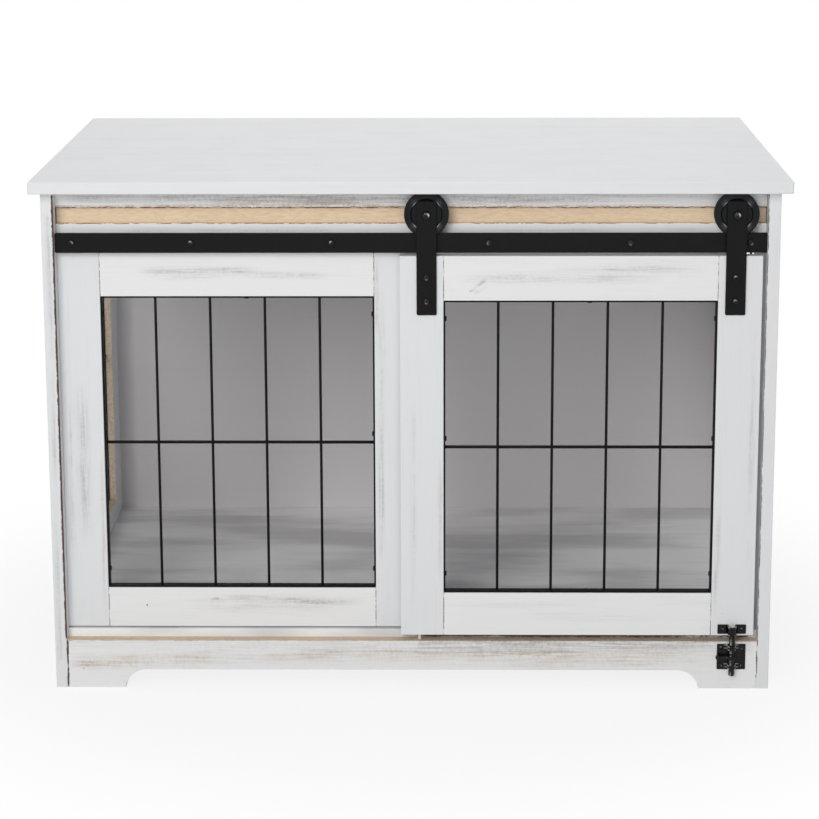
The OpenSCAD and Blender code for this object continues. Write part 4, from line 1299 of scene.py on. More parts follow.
@dataclass(frozen=True)
class BareMetal:
    """Metal with fine turning marks and stains, and a bright mark where it is rubbed that also
    serves as a painted highlight.
    """

    name: str
    base: Colour = (0.55, 0.54, 0.52)
    stain: Colour = (0.26, 0.24, 0.22)
    bright: Colour = (0.82, 0.82, 0.80)
    roughness: float = 0.32
    stained: float = 0.5

    def material(self) -> bpy.types.Material:
        """Builds the finish.

        Returns:
            The material.
        """
        f = Finish(self.name)
        marks = f.noise(f.place, 1800.0, 3.0, 0.6)
        stains = f.noise(f.place, 160.0, 4.0, 0.65)
        colour = f.mix(stains.ramp(0.45, 0.7) * self.stained, self.base, self.stain)
        f.set(Base_Color=f.mix(f.trace(Trace.WEAR_SHADE_GLINT), colour, self.bright))
        f.set(Roughness=self.roughness + marks * 0.12 + stains.ramp(0.45, 0.7) * 0.15)
        f.set(Normal=f.bump(marks, 0.3, 0.05))
        f.set(Metallic=1.0)
        return f.material


@dataclass(frozen=True)
class PlainTimber:
    """Pale timber with fibres along one axis; nylon has faint ones."""

    name: str
    light: Colour = (0.66, 0.50, 0.32)
    dark: Colour = (0.44, 0.29, 0.16)
    grain: Grain = Grain.ALONG_X
    roughness: float = 0.6

    def material(self) -> bpy.types.Material:
        """Builds the finish.

        Returns:
            The material.
        """
        f = Finish(self.name)
        fibres = f.grained(self.grain, 40.0, 700.0, 4.0, 0.6, 0.5)
        pores = f.grained(self.grain, 160.0, 1500.0, 2.0)
        f.set(Base_Color=f.mix(fibres.ramp(0.35, 0.75), self.light, self.dark))
        f.set(Roughness=self.roughness + pores * 0.15)
        f.set(Normal=f.bump(fibres + pores * 0.5, 0.3, 0.1))
        return f.material


class Paints:
    """Every finish of the crate, each made once."""

    def __init__(self) -> None:
        """Builds the materials."""
        level, upright = Grain.ALONG_X, Grain.ALONG_Z
        self.upright = PaintedBoard("white_upright", upright, (0.705, 0.72, 0.73)).material()
        self.level = PaintedBoard("white_level", level).material()
        self.floor = PaintedBoard("white_floor", level, (0.86, 0.855, 0.86), (0.40, 0.39, 0.40),
                                  streaks=0.25, clouded=0.55).material()
        self.panel = SmoothPanel("white_panel", level).material()
        # A grey copy of the white foil for the back panel; part of its darkness is painted shade of
        # the cabin's inside.
        self.inner = SmoothPanel("white_inner", level, (0.61, 0.585, 0.595),
                                 (0.52, 0.495, 0.505), streaks=0.2).material()
        self.black = BlackCoat("black_coat").material()
        # Wheel and latch: the pale third colour is their painted highlights.
        self.wheel = BlackCoat("black_wheel", (0.0035, 0.0042, 0.006), (0.68, 0.69, 0.7),
                               roughness=0.28, gloss=0.12).material()
        self.latch = BlackCoat("black_latch", (0.002, 0.002, 0.002), (0.62, 0.62, 0.62), peel=0.5,
                               roughness=0.2, gloss=0.2).material()
        self.oxide = BareMetal("black_oxide", (0.022, 0.022, 0.023), (0.009, 0.009, 0.009),
                               (0.25, 0.25, 0.245)).material()
        self.steel = BareMetal("worn_steel", (0.03, 0.03, 0.032), (0.01, 0.01, 0.011),
                               roughness=0.2, stained=0.8).material()
        self.zinc = BareMetal("zinc").material()
        self.beech = PlainTimber("beech").material()
        self.nylon = PlainTimber("nylon", (0.74, 0.66, 0.54), (0.66, 0.57, 0.45)).material()


# Sub-assemblies


@dataclass
class Group:
    """A sub-assembly, with the shop that makes its pieces and the paints that dress them."""

    shop: Shop
    paints: Paints


@dataclass
class Cabinet(Group):
    """Top, sides, back, floor, apron, rear rail and header."""

    side_in: float = 461.5
    front: float = -288.0
    frame_front: float = -268.0
    floor_front: float = -272.0
    side_h: float = 674.0
    apron_h: float = 66.5
    groove: Spot = (629.5, 649.5)

    def build(self) -> None:
        """Makes the cabinet's boards."""
        self._plain()
        self._sides()
        self._apron()
        self._header()
        self.shop.dress(self.paints.zinc, "cam_locks", "cam_bolts")
        self.shop.dress(self.paints.beech, "dowels")

    def _plain(self) -> None:
        """Top, floor, back and rear rail, by piece, node, ease, step, finish and marks; the floor's
        marks are painted shade under the door.
        """
        shop, paints = self.shop, self.paints
        # Painted shade: a dark brown smear and worn band along the floor's front edge, where the
        # door's shadow falls.
        shaded = strokes(self.floor_front, {
            Trace.SMEAR_AND_SHADE: [(4, 70, 458, 70, 6, 1.5, 0.2, 60, 0.02, 5)],
            Trace.WEAR_SHADE_GLINT: [(4, 69.5, 458, 69.5, 3.2, 1, 0.3, 40, 0.02, 6)]})
        boards = [("top_board", "top_panel", 1.5, 12.0, paints.panel, []),
                  ("floor_board", "floor_panel", 0.5, 4.0, paints.floor, shaded),
                  ("back_board", "back_panel", 0.4, 12.0, paints.inner, []),
                  ("rear_board", "rear_rail", 0.6, 12.0, paints.level, [])]
        for name, node, ease, step, finish, marks in boards:
            shop.make(name, Board(node, Grain.ALONG_X, ease, step, marks).skin(), finish, node)

    def _sides(self) -> None:
        """Both sides; the left one's front edge is worn brown along its inner corner."""
        shop, paints = self.shop, self.paints
        y, end, top = self.front, self.side_in, self.side_h
        left = {Trace.WEAR_SHADE_GLINT: [(-end, 70, -end, 668, 2.1, 1.25, 0.25, 9, 0, 11),
                             (-end, 0, -end, 80, 1.4, 0.9, 0.5, 9, 0, 12)],
                Trace.STREAK_AND_SHADE: [(-472, 40, -468, 640, 2.6, 0.6, 0.8, 60, 0, 13)]}
        right = {Trace.WEAR_SHADE_GLINT: [(end, 14, end, 58, 1.1, 0.75, 0.4, 20, 0.2, 15),
                              (end, 60, end, 670, 1.2, 0.8, 0.4, 20, 0, 16)]}
        for side, sign, rows, depth, seed in (("left", -1, left, 1.1, 14),
                                              ("right", 1, right, 0.7, 17)):
            x, node = sign * end, f"{side}_side_panel"
            chip = Chip((x, y, 0), (x, y, top), (sign * 0.6, 0.8, 0.0), depth, seed=seed)
            board = WindowBoard(node, Grain.ALONG_Z, marks=strokes(y, rows), chips=[chip])
            shop.make(f"{side}_side", board.skin(), paints.upright, node)

    def _apron(self) -> None:
        """Apron with its raw top edge and brown smears along its face, and painted shade on its top
        under the door.
        """
        shop, paints = self.shop, self.paints
        y, top = self.front, self.apron_h
        marks = strokes(y, {
            Trace.SMEAR_AND_SHADE: [(-461, 32, -250, 46, 10, 0.85, 0.4, 40, 0.1, 21),
                          (-310, 45, -60, 49, 10, 0.9, 0.35, 50, 0.2, 22),
                          (-120, 48, 400, 47, 10, 0.9, 0.35, 60, 0.15, 23),
                          (100, 36, 440, 34, 9, 0.6, 0.5, 60, 0.2, 24)],
            Trace.STREAK_AND_SHADE: [(-200, 60, 180, 57, 3, 0.5, 0.7, 60, 0.2, 29)],
            Trace.WEAR_SHADE_GLINT: [(-461, 0, -461, 66, 1.4, 1, 0.4, 9, 0, 25),
                         (461, 12, 461, 56, 1.1, 0.75, 0.4, 9, 0.1, 26),
                         (-459, top, 459, top, 0.9, 0.75, 0.6, 12, 0, 27),
                         (-444, 25, -437, 29, 0.9, 0.9, 0.3, 5, 0, 30)]})
        # Streaks on the raw top: the first dusts it all along; the second darkens it under the
        # door, painted shade of the door.
        for back, row in ((8, (-461, top, 461, top, 12, 0.6, 0.4, 60, 0, 41)),
                          (6, (4, top, 458, top, 14, 1.3, 0.2, 60, 0.02, 42))):
            marks += strokes(y + back, {Trace.STREAK_AND_SHADE: [row]})
        chip = Chip((-461, y, top), (461, y, top), (0.0, 0.7, -0.7), 0.7, seed=28)
        board = ApronBoard("front_apron", Grain.ALONG_X, step=2.2, marks=marks, chips=[chip])
        shop.make("apron_board", board.skin(), paints.level, "front_apron")

    def _header(self) -> None:
        """Header whose groove has ragged edges, the upper one brown and partly painted shade under
        its lip; above the groove, painted shade under the top's overhang.
        """
        shop, paints = self.shop, self.paints
        y, end, (low, high) = self.frame_front, self.side_in, self.groove
        # The streaks and the smear a few millimetres above the groove are grey-brown strokes that
        # also paint the shade under the top's overhang.
        marks = strokes(y, {
            Trace.WEAR_SHADE_GLINT: [(-end, high + 0.2, end, high + 0.2, 1.2, 1, 0.5, 6, 0, 31),
                         (-end, low, end, low, 0.9, 0.8, 0.7, 7, 0, 32)],
            Trace.SMEAR_AND_SHADE: [(-end, high + 0.8, end, high + 0.8, 1.9, 2, 0.5, 8, 0, 40),
                          (-260, 657, -20, 655, 4, 1.1, 0.4, 40, 0.2, 36)],
            Trace.STREAK_AND_SHADE: [(-455, 664, 120, 660, 6.5, 1.15, 0.35, 50, 0.05, 34),
                           (60, 660, 455, 664, 6, 1.15, 0.35, 50, 0.05, 35),
                           (-440, 620, 440, 621, 3, 0.5, 0.7, 60, 0.1, 39)]})
        # Brown smear inside the groove along its upper lip, partly painted shade under the lip.
        marks += strokes(y + 3, {Trace.SMEAR_AND_SHADE: [(-end, high, end, high, 1.6, 1, 0.3, 11, 0, 33)]})
        chips = [Chip((-end, y, high), (end, y, high), (0.0, 0.25, 1.0), 1.9, 1.0, 1.9, seed=37),
                 Chip((-end, y, low), (end, y, low), (0.0, 0.25, -1.0), 0.9, 0.8, 2.2, seed=38)]
        board = HeaderBoard("header_board", Grain.ALONG_X, marks=marks, chips=chips)
        shop.make("header", board.skin(), paints.level, "header_board")


# Grey and brown strokes that show through the paint, by board
FRAME_STROKES: dict[str, MarkRows] = {
    "fixed_left_stile": {
        Trace.STREAK_AND_SHADE: [(-434, 190, -436, 420, 8, 0.7, 0.45, 40, 0.2, 67),
                       (-452, 150, -450, 560, 3, 0.5, 0.7, 60, 0.1, 77)],
        Trace.SMEAR_AND_SHADE: [(-412, 95, -410, 330, 3, 0.5, 0.7, 50, 0.3, 68)]},
    "fixed_right_stile": {
        Trace.STREAK_AND_SHADE: [(-40, 160, -38, 560, 3.5, 0.8, 0.6, 50, 0.2, 69)],
        Trace.SMEAR_AND_SHADE: [(-45, 480, -44, 585, 2.5, 0.7, 0.5, 30, 0.2, 78)]},
    "fixed_top_rail": {
        Trace.STREAK_AND_SHADE: [(-362, 565, -190, 567, 4.5, 1, 0.55, 30, 0.2, 61),
                       (-230, 562, -105, 560, 3.5, 0.8, 0.6, 30, 0.3, 62),
                       (-330, 557, -240, 558, 3, 0.5, 0.6, 30, 0.3, 76)]},
    "fixed_bottom_rail": {
        Trace.STREAK_AND_SHADE: [(-305, 112, -60, 114, 5, 1, 0.5, 30, 0.2, 63),
                       (-260, 120, -120, 118, 4, 0.8, 0.6, 30, 0.3, 64)],
        Trace.SMEAR_AND_SHADE: [(-300, 110, -70, 112, 9, 0.6, 0.4, 40, 0.3, 65)],
        Trace.WEAR_SHADE_GLINT: [(-356, 107, -355.5, 110, 1.1, 0.8, 0.1, 5, 0, 66)]},
    "door_left_stile": {
        Trace.STREAK_AND_SHADE: [(38, 140, 39, 330, 2.5, 0.6, 0.7, 40, 0.3, 70),
                       (2, 110, 4, 420, 3, 0.5, 0.7, 60, 0.2, 79)]},
    "door_right_stile": {
        Trace.STREAK_AND_SHADE: [(404, 100, 406, 260, 2.5, 0.9, 0.6, 40, 0.3, 71),
                       (446, 120, 447, 500, 3, 0.5, 0.7, 60, 0.2, 80)],
        Trace.WEAR_SHADE_GLINT: [(413.5, 104, 413, 111, 1, 0.75, 0.1, 5, 0, 72)]},
    "door_top_rail": {
        Trace.STREAK_AND_SHADE: [(78, 543, 96, 557, 1.3, 1.6, 0.2, 8, 0, 73),
                       (84, 541, 98, 549, 1.1, 1.1, 0.3, 6, 0, 83),
                       (60, 560, 330, 562, 5.5, 0.8, 0.6, 60, 0.3, 74),
                       (180, 573, 390, 571, 4.5, 0.7, 0.6, 60, 0.3, 81)]},
    "door_bottom_rail": {
        Trace.STREAK_AND_SHADE: [(90, 100, 350, 98, 4.5, 0.15, 0.7, 60, 0.3, 75),
                       (60, 116, 250, 118, 3, 0.2, 0.7, 60, 0.3, 82)]},
}


@dataclass
class FrontFrames(Group):
    """Stiles and rails of the fixed window and of the door, with their worn joints."""

    joint_worn: float = 0.85
    step: float = 2.0
    fixed: float = -268.0
    door: float = -288.0
    knot: Spot = (-262.0, 113.0)
    knot_r: float = 7.0

    def build(self) -> None:
        """Makes the eight boards."""
        shop, paints = self.shop, self.paints
        grooved = ("door_left_stile", "door_right_stile", "door_bottom_rail")
        for order, (node, rows) in enumerate(FRAME_STROKES.items()):
            upright = node.endswith("stile")
            kind = GroovedDoorBoard if node in grooved else Board
            marks = [] if upright else self._joints(node, 40 + 5 * order)
            marks += strokes(self.door if node.startswith("door") else self.fixed, rows)
            if node == "fixed_bottom_rail":
                marks += self._knot()
            grain = Grain.ALONG_Z if upright else Grain.ALONG_X
            shop.make(f"{node}_board", kind(node, grain, step=self.step, marks=marks).skin(),
                      paints.upright if upright else paints.level, node)

    def _joints(self, node: str, seed: int) -> list[Mark]:
        """Broken dark lines where a rail's ends meet the stiles.

        Args:
            node: The rail's node.
            seed: Seed of the first joint.

        Returns:
            The marks.
        """
        low, high = node_box(node)
        rows = [(x, low[2], x, high[2], 1.0, self.joint_worn, 0.5, 6.0, 0.0, seed + side)
                for side, x in enumerate((low[0], high[0]))]
        return strokes(low[1], {Trace.WEAR_SHADE_GLINT: rows})

    def _knot(self) -> list[Mark]:
        """Knot in the wood under the paint: an arc of short streaks round a centre.

        Returns:
            The marks.
        """
        turns = np.radians(np.linspace(70, 200, 5))
        ends = [(self.knot[0] + self.knot_r * math.cos(turn),
                 self.knot[1] + 0.8 * self.knot_r * math.sin(turn)) for turn in turns]
        rows = [(*start, *end, 1.6, 1.8, 0.2, 4.0, 0.0, 90 + order)
                for order, (start, end) in enumerate(zip(ends, ends[1:]))]
        return strokes(self.fixed, {Trace.STREAK_AND_SHADE: rows})


@dataclass
class Bars(Group):
    """The four grilles and their screws."""

    rim_inset: float = 1.0
    rim_w: float = 12.0
    side_rim_w: float = 5.0
    side_out: float = 477.5
    lift: float = 2.35
    screw_end: float = 25.0
    screw_off: float = 12.0
    side_end: float = 60.0
    side_off: float = 20.0
    side_low: Spot = (-221.0, 109.0)
    side_high: Spot = (238.0, 565.0)
    fixed: tuple[Spot, Spot, float] = ((-406.5, 134.0), (-47.5, 532.5), -268.0)
    door: tuple[Spot, Spot, float] = ((43.0, 133.7), (399.0, 530.7), -288.0)
    screw: Screw = Screw(7.0, 1.8, 2.6, 14.7)
    side_screw: Screw = Screw(4.4, 1.8, 2.6, 14.7, around=24)

    def build(self) -> None:
        """Makes the grilles and their screws; a front one is two corners and the frame's face."""
        shop, paints = self.shop, self.paints
        for name, (low, high, face) in (("fixed", self.fixed), ("door", self.door)):
            front = face + self.rim_inset
            grille = Grille(low, high, front, self.rim_w, 4)
            shop.make(f"{name}_bars", grille.skin(), paints.black, f"{name}_grille")
            middle, reach = (low[1] + high[1]) / 2, (high[1] - low[1]) / 2 - self.screw_end
            places = self._places(low, high, front + self.rim_w / 2, self.screw_off,
                                  (middle - reach, middle + self.screw_off, middle + reach))
            shop.make(f"{name}_bar_screws", self.screw.row(places, 0.3, 0.9), paints.oxide,
                      f"{name}_grille_screws")
        low, high = self.side_low, self.side_high
        side = Grille(low, high, 0.0, self.side_rim_w, 5).skin()
        places = self._places(low, high, self.side_rim_w / 2, self.side_off,
                              (low[1] + self.side_end, high[1] - self.side_end))
        screws = self.side_screw.row(places, 0.3, 0.9)
        turned = []
        for name, sign in (("left", -1.0), ("right", 1.0)):
            columns = np.array([[0.0, -sign, 0.0], [1.0, 0.0, 0.0], [0.0, 0.0, 1.0]])
            place = (sign * (self.side_out - self.rim_inset), 0.0, 0.0)
            shop.make(f"{name}_side_bars", side.turned(columns, place), paints.black,
                      f"{name}_window_grille")
            turned.append(screws.turned(columns, place))
        shop.make("side_bar_screws", joined(turned), paints.oxide, "window_grille_screws")

    def _places(self, low: Spot, high: Spot, y: float, off: float,
                heights: tuple[float, ...]) -> list[tuple[Place, Place]]:
        """Places and directions of a rim's screws.

        Args:
            low: Lower left corner of the opening.
            high: Upper right corner of the opening.
            y: Middle of the rim's width.
            off: How far the upper and the lower screw stand from the middle.
            heights: Where the screws up each side stand.

        Returns:
            The left side's, the right side's, the upper and the lower one.
        """
        (x0, z0), (x1, z1) = low, high
        x = (x0 + x1) / 2 + off
        places = [((x0 + self.lift, y, z), RIGHT) for z in heights]
        places += [((x1 - self.lift, y, z), LEFT) for z in heights]
        return places + [((x, y, z1 - self.lift), DOWN), ((x, y, z0 + self.lift), UP)]


@dataclass
class Hangers(Group):
    """Track with its spacers and bolts, straps, rollers, axles and nuts, and the guide pin."""

    track_y: Spot = (-283.0, -279.0)
    sleeve_r: Spot = (2.6, 6.0)
    sleeve_l: float = 11.0
    bolt_x: tuple[float, ...] = (-440.0, -285.12, -102.08, 102.08, 285.12, 440.0)
    bolt_z: float = 606.0
    roller_x: Spot = (21.0, 421.0)
    roller_y: float = -281.0
    axle_z: float = 643.6
    strap_front: float = -291.0
    strap_screw_z: Spot = (530.0, 561.5)
    flange_r: float = 29.0
    tread_r: float = 24.5
    half_w: float = 6.6
    bore_r: float = 3.15
    hub_y: float = -287.9
    dish: float = 2.6
    dish_r: tuple[float, ...] = (10.0, 10.8, 19.7, 20.5)
    flange_end: float = 3.5
    tread_end: float = 2.5
    glint_r: float = 20.3
    bolt: Screw = Screw(9.0, 2.4, 5.0, 27.0, pitch=1.8, recess=0.48)
    axle: Screw = Screw(11.0, 4.0, 6.0, 23.4, Drive.HEXAGON, 0.42, 1.0, 36)
    strap_screw: Screw = Screw(9.0, 2.2, 4.0, 14.7, pitch=1.6, recess=0.46)

    def build(self) -> None:
        """Makes the hanging gear."""
        shop, paints = self.shop, self.paints
        track = Board("door_track", Grain.ALONG_X, 0.6, 8.0)
        shop.make("track_bar", track.skin(), paints.black, "door_track")
        corners = rectangle((self.sleeve_r[0], 0.0), (self.sleeve_r[1], self.sleeve_l))
        sleeve = ring(corners, 0.5, 3, 0.3, 32)
        sleeves = [sleeve.turned(towards(BACK), (x, self.track_y[1], self.bolt_z))
                   for x in self.bolt_x]
        shop.make("track_sleeves", joined(sleeves), paints.black, "track_spacers")
        places = [((x, self.track_y[0], self.bolt_z), FRONT) for x in self.bolt_x]
        shop.make("track_screws", self.bolt.row(places, 0.5, 1.0), paints.oxide, "track_bolts")
        wheel = self._wheel()
        for side, x in zip(("left", "right"), self.roller_x):
            turned = wheel.turned(towards(FRONT), (x, self.roller_y, self.axle_z))
            shop.make(f"{side}_wheel", turned, paints.wheel, f"{side}_roller")
            node = f"{side}_hanger_strap"
            shop.make(f"{side}_strap", self._strap(node), paints.black, node)
            head = self.axle.driven((x, self.strap_front, self.axle_z), FRONT, 0.4)
            shop.make(f"{side}_axle", head, paints.steel, f"{side}_axle_bolt")
        screws = [self.strap_screw.driven((x, self.strap_front, z), FRONT, 0.2 + x * 0.7 + z)
                  for x in self.roller_x for z in self.strap_screw_z]
        shop.make("hanger_screws", joined(screws), paints.oxide, "strap_screws")
        shop.dress(paints.oxide, "axle_nuts")
        shop.dress(paints.nylon, "guide_pin")

    def _wheel(self) -> Skin:
        """Grooved roller: its half outline with softened corners, turned about the axle.

        Heights run from the back face to the front; the rims of both dishes get painted highlights
        in four places round the wheel, by a high power of the sine of twice the angle.

        Returns:
            The roller, its axle along the third axis.
        """
        h, bore, hub = self.half_w, self.bore_r, self.roller_y - self.hub_y
        dish, flange, tread = h - self.dish, self.flange_r, self.tread_r
        hub_end, dish_from, dish_to, rim_from = self.dish_r
        back = [[bore, -h], [hub_end, -h], [dish_from, -dish], [dish_to, -dish], [rim_from, -h],
                [flange, -h], [flange, -self.flange_end], [tread, -self.tread_end]]
        front = [[radius, -height] for radius, height in back[:0:-1]]
        corners = np.array(back + front + [[bore + 3, h], [bore + 3, hub], [bore, hub]])
        skin = ring(corners, 0.9, 4, 0.4, 96)
        # Painted highlights: pale arcs on the dish rims at four places round the wheel.
        radius = np.hypot(skin.points[:, 0], skin.points[:, 1])
        angle = np.arctan2(skin.points[:, 1], skin.points[:, 0])
        near = np.clip(np.abs(skin.points[:, 2]) - h + 1.2, 0.0, 1.0)
        rim = np.exp(-((radius - self.glint_r) / 0.9) ** 2) * near
        skin.mark(Trace.WEAR_SHADE_GLINT, rim * np.abs(np.sin(2 * angle)) ** 14)
        return skin

    def _strap(self, node: str) -> Skin:
        """Strap's outline in X and Z with small round corners, carried through its thickness.

        Args:
            node: The strap's node.

        Returns:
            The closed skin.
        """
        low, high = node_box(node)
        outline = divide(soften(rectangle(low[[0, 2]], high[[0, 2]]), 2.2, 5), 6.0)
        return carried(outline, 1, (low[1], high[1]), 0.55, 6.0)


@dataclass
class BarrelBolt(Group):
    """Latch on the apron: plate with pressed bands, rod, knob, and the keeper on the door."""

    x: float = 427.0
    y: float = -294.9
    face: float = -288.0
    plate_t: float = 1.2
    plate: Place = (38.0, 27.5, 63.0)
    bands: Spot = (30.5, 57.0)
    band_h: float = 5.5
    loop_r: float = 4.35
    foot: float = 5.0
    foot_t: float = 0.6
    rod_r: float = 4.0
    rod_z: Spot = (20.5, 76.2)
    knob_z: float = 46.0
    knob_reach: float = 21.5
    ball_r: float = 3.5
    stem_r: float = 2.0
    collar_h: float = 5.0
    keeper: Place = (38.0, 77.2, 90.2)
    keeper_loop: float = 12.2
    keeper_foot: float = 2.0
    plate_inset: float = 5.0
    keeper_inset: float = 6.0
    collar_wall: float = 1.2
    screw: Screw = Screw(6.0, 1.4, 2.8, 11.9, recess=0.52, around=28)

    def build(self) -> None:
        """Makes the latch; a plate is its width and its lower and upper edge."""
        shop, paints = self.shop, self.paints
        width, z0, z1 = self.plate
        bands = [self._band(z, z + self.band_h, self.foot, self.foot_t) for z in self.bands]
        plate = joined([self._slab(self.x, width, z0, z1)] + bands)
        shop.make("bolt_base", plate, paints.latch, "bolt_plate")
        inset = self.plate_inset
        screws = self._screws(width / 2 - inset, (z0 + inset, z1 - inset))
        shop.make("bolt_base_screws", screws, paints.oxide, "bolt_plate_screws")
        width, z0, z1 = self.keeper
        ear = width / 2 - self.loop_r
        parts = [self._slab(self.x + side * (self.loop_r + ear / 2), ear, z0, z1)
                 for side in (-1, 1)]
        parts.append(self._band(z0, z0 + self.keeper_loop, self.keeper_foot, 0.0))
        shop.make("bolt_keeper", joined(parts), paints.latch, "keeper_plate")
        screws = self._screws(width / 2 - self.keeper_inset, ((z0 + z1) / 2,))
        shop.make("bolt_keeper_screws", screws, paints.oxide, "keeper_screws")
        shop.make("bolt_bar", self._rod(), paints.latch, "bolt_rod")
        shop.make("bolt_handle", self._knob(), paints.latch, "bolt_knob")

    def _screws(self, away: float, heights: tuple[float, ...]) -> Skin:
        """Screws through a plate, in two columns.

        Args:
            away: Distance of both columns from the rod.
            heights: Where the screws stand in a column.

        Returns:
            The screws.
        """
        places = [((self.x + side * away, self.face - self.plate_t, z), FRONT)
                  for side in (-1, 1) for z in heights]
        return self.screw.row(places, 0.4, 1.3)

    def _slab(self, x: float, width: float, z0: float, z1: float) -> Skin:
        """Thin plate with round corners against the face.

        Args:
            x: Its middle.
            width: Its width.
            z0: Lower edge.
            z1: Upper edge.

        Returns:
            The closed skin.
        """
        corners = rectangle((x - width / 2, z0), (x + width / 2, z1))
        outline = divide(soften(corners, 1.2, 4), 5.0)
        return carried(outline, 1, (self.face - self.plate_t, self.face), 0.25, 2.0)

    def _band(self, z0: float, z1: float, reach: float, proud: float) -> Skin:
        """Band pressed over the rod: half circles inside and outside, with a foot on each side.

        Args:
            z0: Lower edge.
            z1: Upper edge.
            reach: Length of a foot past the outer circle.
            proud: How far the feet stand out of the plate.

        Returns:
            The band, with painted highlights on its cut edges beside the rod.
        """
        angle = np.linspace(math.pi, TURN, 25)
        half = np.stack([np.cos(angle), np.sin(angle)], axis=1)
        centre = np.array([self.x, self.y])
        outer_r, loop_r, ease = self.loop_r + self.plate_t, self.loop_r, 0.3
        y, front, foot = self.face, self.face - self.plate_t - proud, outer_r + reach
        left = [[self.x - foot, y], [self.x - foot, front], [self.x - outer_r, front]]
        right = [[self.x + outer_r, front], [self.x + foot, front], [self.x + foot, y]]
        outline = np.concatenate([left, centre + half * outer_r, right, [[self.x + loop_r, y]],
                                  centre + half[::-1] * loop_r, [[self.x - loop_r, y]]])
        skin = carried(outline, 2, (z0, z1), ease, 0.6)
        x, y, z = skin.points.T
        edge = np.minimum(np.abs(z - z0 - ease), np.abs(z - z1 + ease))
        away = np.abs(x - self.x)
        past = np.maximum(loop_r - away, away - outer_r - 0.75 * reach)
        turn = np.clip(past, 0.0, None) / 0.8
        # Painted highlights along the band's cut edges beside the rod.
        skin.mark(Trace.WEAR_SHADE_GLINT, np.exp(-(edge / 0.8) ** 2 - turn ** 2) * (y < front + 0.4))
        return skin

    def _rod(self) -> Skin:
        """Rod with tapered, rounded ends.

        Its front left gets a painted highlight in a broken line, by a power of the cosine of the
        angle from there times a random curve of the height.

        Returns:
            The rod in its place.
        """
        (z0, z1), r = self.rod_z, self.rod_r
        taper = np.array([[0.6, 0.0], [r - 1.5, 0.0], [r - 1.1, 0.15], [r - 0.15, 1.2], [r, 1.8],
                          [r, 8.0]])
        shaft = np.stack([np.full(41, r), np.linspace(z0 + 8.0, z1 - 8.0, 43)[1:-1]], axis=1)
        ends = taper + (0.0, z0), taper[::-1] * (1.0, -1.0) + (0.0, z1)
        skin = tube(revolved(np.concatenate([ends[0], shaft, ends[1]]), 40))
        x, y, z = skin.points.T
        # Painted highlight: a broken pale line down the rod's front left.
        facing = np.clip(np.cos(np.arctan2(y, x) + math.radians(118.0)), 0.0, 1.0)
        broken = np.clip(4.0 * ripple(z, 3.0, 91) - 1.6, 0.0, 1.0)
        skin.mark(Trace.WEAR_SHADE_GLINT, 0.55 * facing ** 24 * broken)
        return skin.turned(np.eye(3), (self.x, self.y, 0.0))

    def _knob(self) -> Skin:
        """Collar round the rod, and a stem that swells into a ball.

        Returns:
            The knob in its place.
        """
        r, wall, high = self.rod_r + 0.15, self.collar_wall, self.collar_h
        collar = ring(rectangle((r, -high / 2), (r + wall, high / 2)), 0.35, 3, 0.2, 40)
        ball, stem, reach = self.ball_r, self.stem_r, self.knob_reach
        middle, start = reach - ball, r + wall * 0.4
        turn = np.radians(np.linspace(-48.0, 80.0, 12))
        neck = middle - math.sqrt(ball * ball - stem * stem)
        flare = [[0.3, start], [stem + 0.7, start], [stem + 0.25, start + 0.9],
                 [stem, start + 1.8], [stem, neck - 0.8], [stem + 0.1, neck - 0.1]]
        arc = np.stack([ball * np.cos(turn), middle + ball * np.sin(turn)], axis=1)
        stick = tube(revolved(np.concatenate([flare, arc, [[0.15, reach]]]), 28))
        knob = joined([collar, stick.turned(towards(LEFT))])
        return knob.turned(np.eye(3), (self.x, self.y, self.knob_z))


@dataclass
class BackScrews(Group):
    """Screws that hold the back panel."""

    back: float = 308.0
    side_x: float = 469.5
    heights: tuple[float, ...] = (90.0, 230.0, 370.0, 510.0, 650.0)
    floor_z: float = 69.5
    floor_x: tuple[float, ...] = (-300.0, -100.0, 100.0, 300.0)
    screw: Screw = Screw(7.0, 1.2, 2.6, 15.7, around=24)

    def build(self) -> None:
        """Makes them as one piece."""
        shop, paints = self.shop, self.paints
        spots = [(side * self.side_x, z) for side in (-1, 1) for z in self.heights]
        spots += [(x, self.floor_z) for x in self.floor_x]
        places = [((x, self.back, z), BACK) for x, z in spots]
        shop.make("back_panel_screws", self.screw.row(places, 0.4, 0.8), paints.zinc,
                  "back_screws")


@dataclass(frozen=True)
class Lamp:
    """Square area light aimed at the crate's middle; a place in metres, a power in watts."""

    name: str
    place: Place
    size: float
    power: float
    colour: Colour = (1.0, 1.0, 1.0)
    mirrored: bool = True
    aim: Place = (0.0, 0.0, 0.35)

    def build(self) -> None:
        """Makes the light; glossy surfaces show it only where it is mirrored."""
        data = bpy.data.lights.new(self.name, "AREA")
        data.size, data.energy, data.color = self.size, self.power, self.colour
        lamp = placed(self.name, data)
        lamp.location = self.place
        lamp.visible_glossy = self.mirrored
        aim = np.array(self.aim) - np.array(self.place)
        tilt = math.atan2(math.hypot(aim[0], aim[1]), -aim[2])
        lamp.rotation_euler = Euler((tilt, 0.0, math.atan2(aim[1], aim[0]) - math.pi / 2))


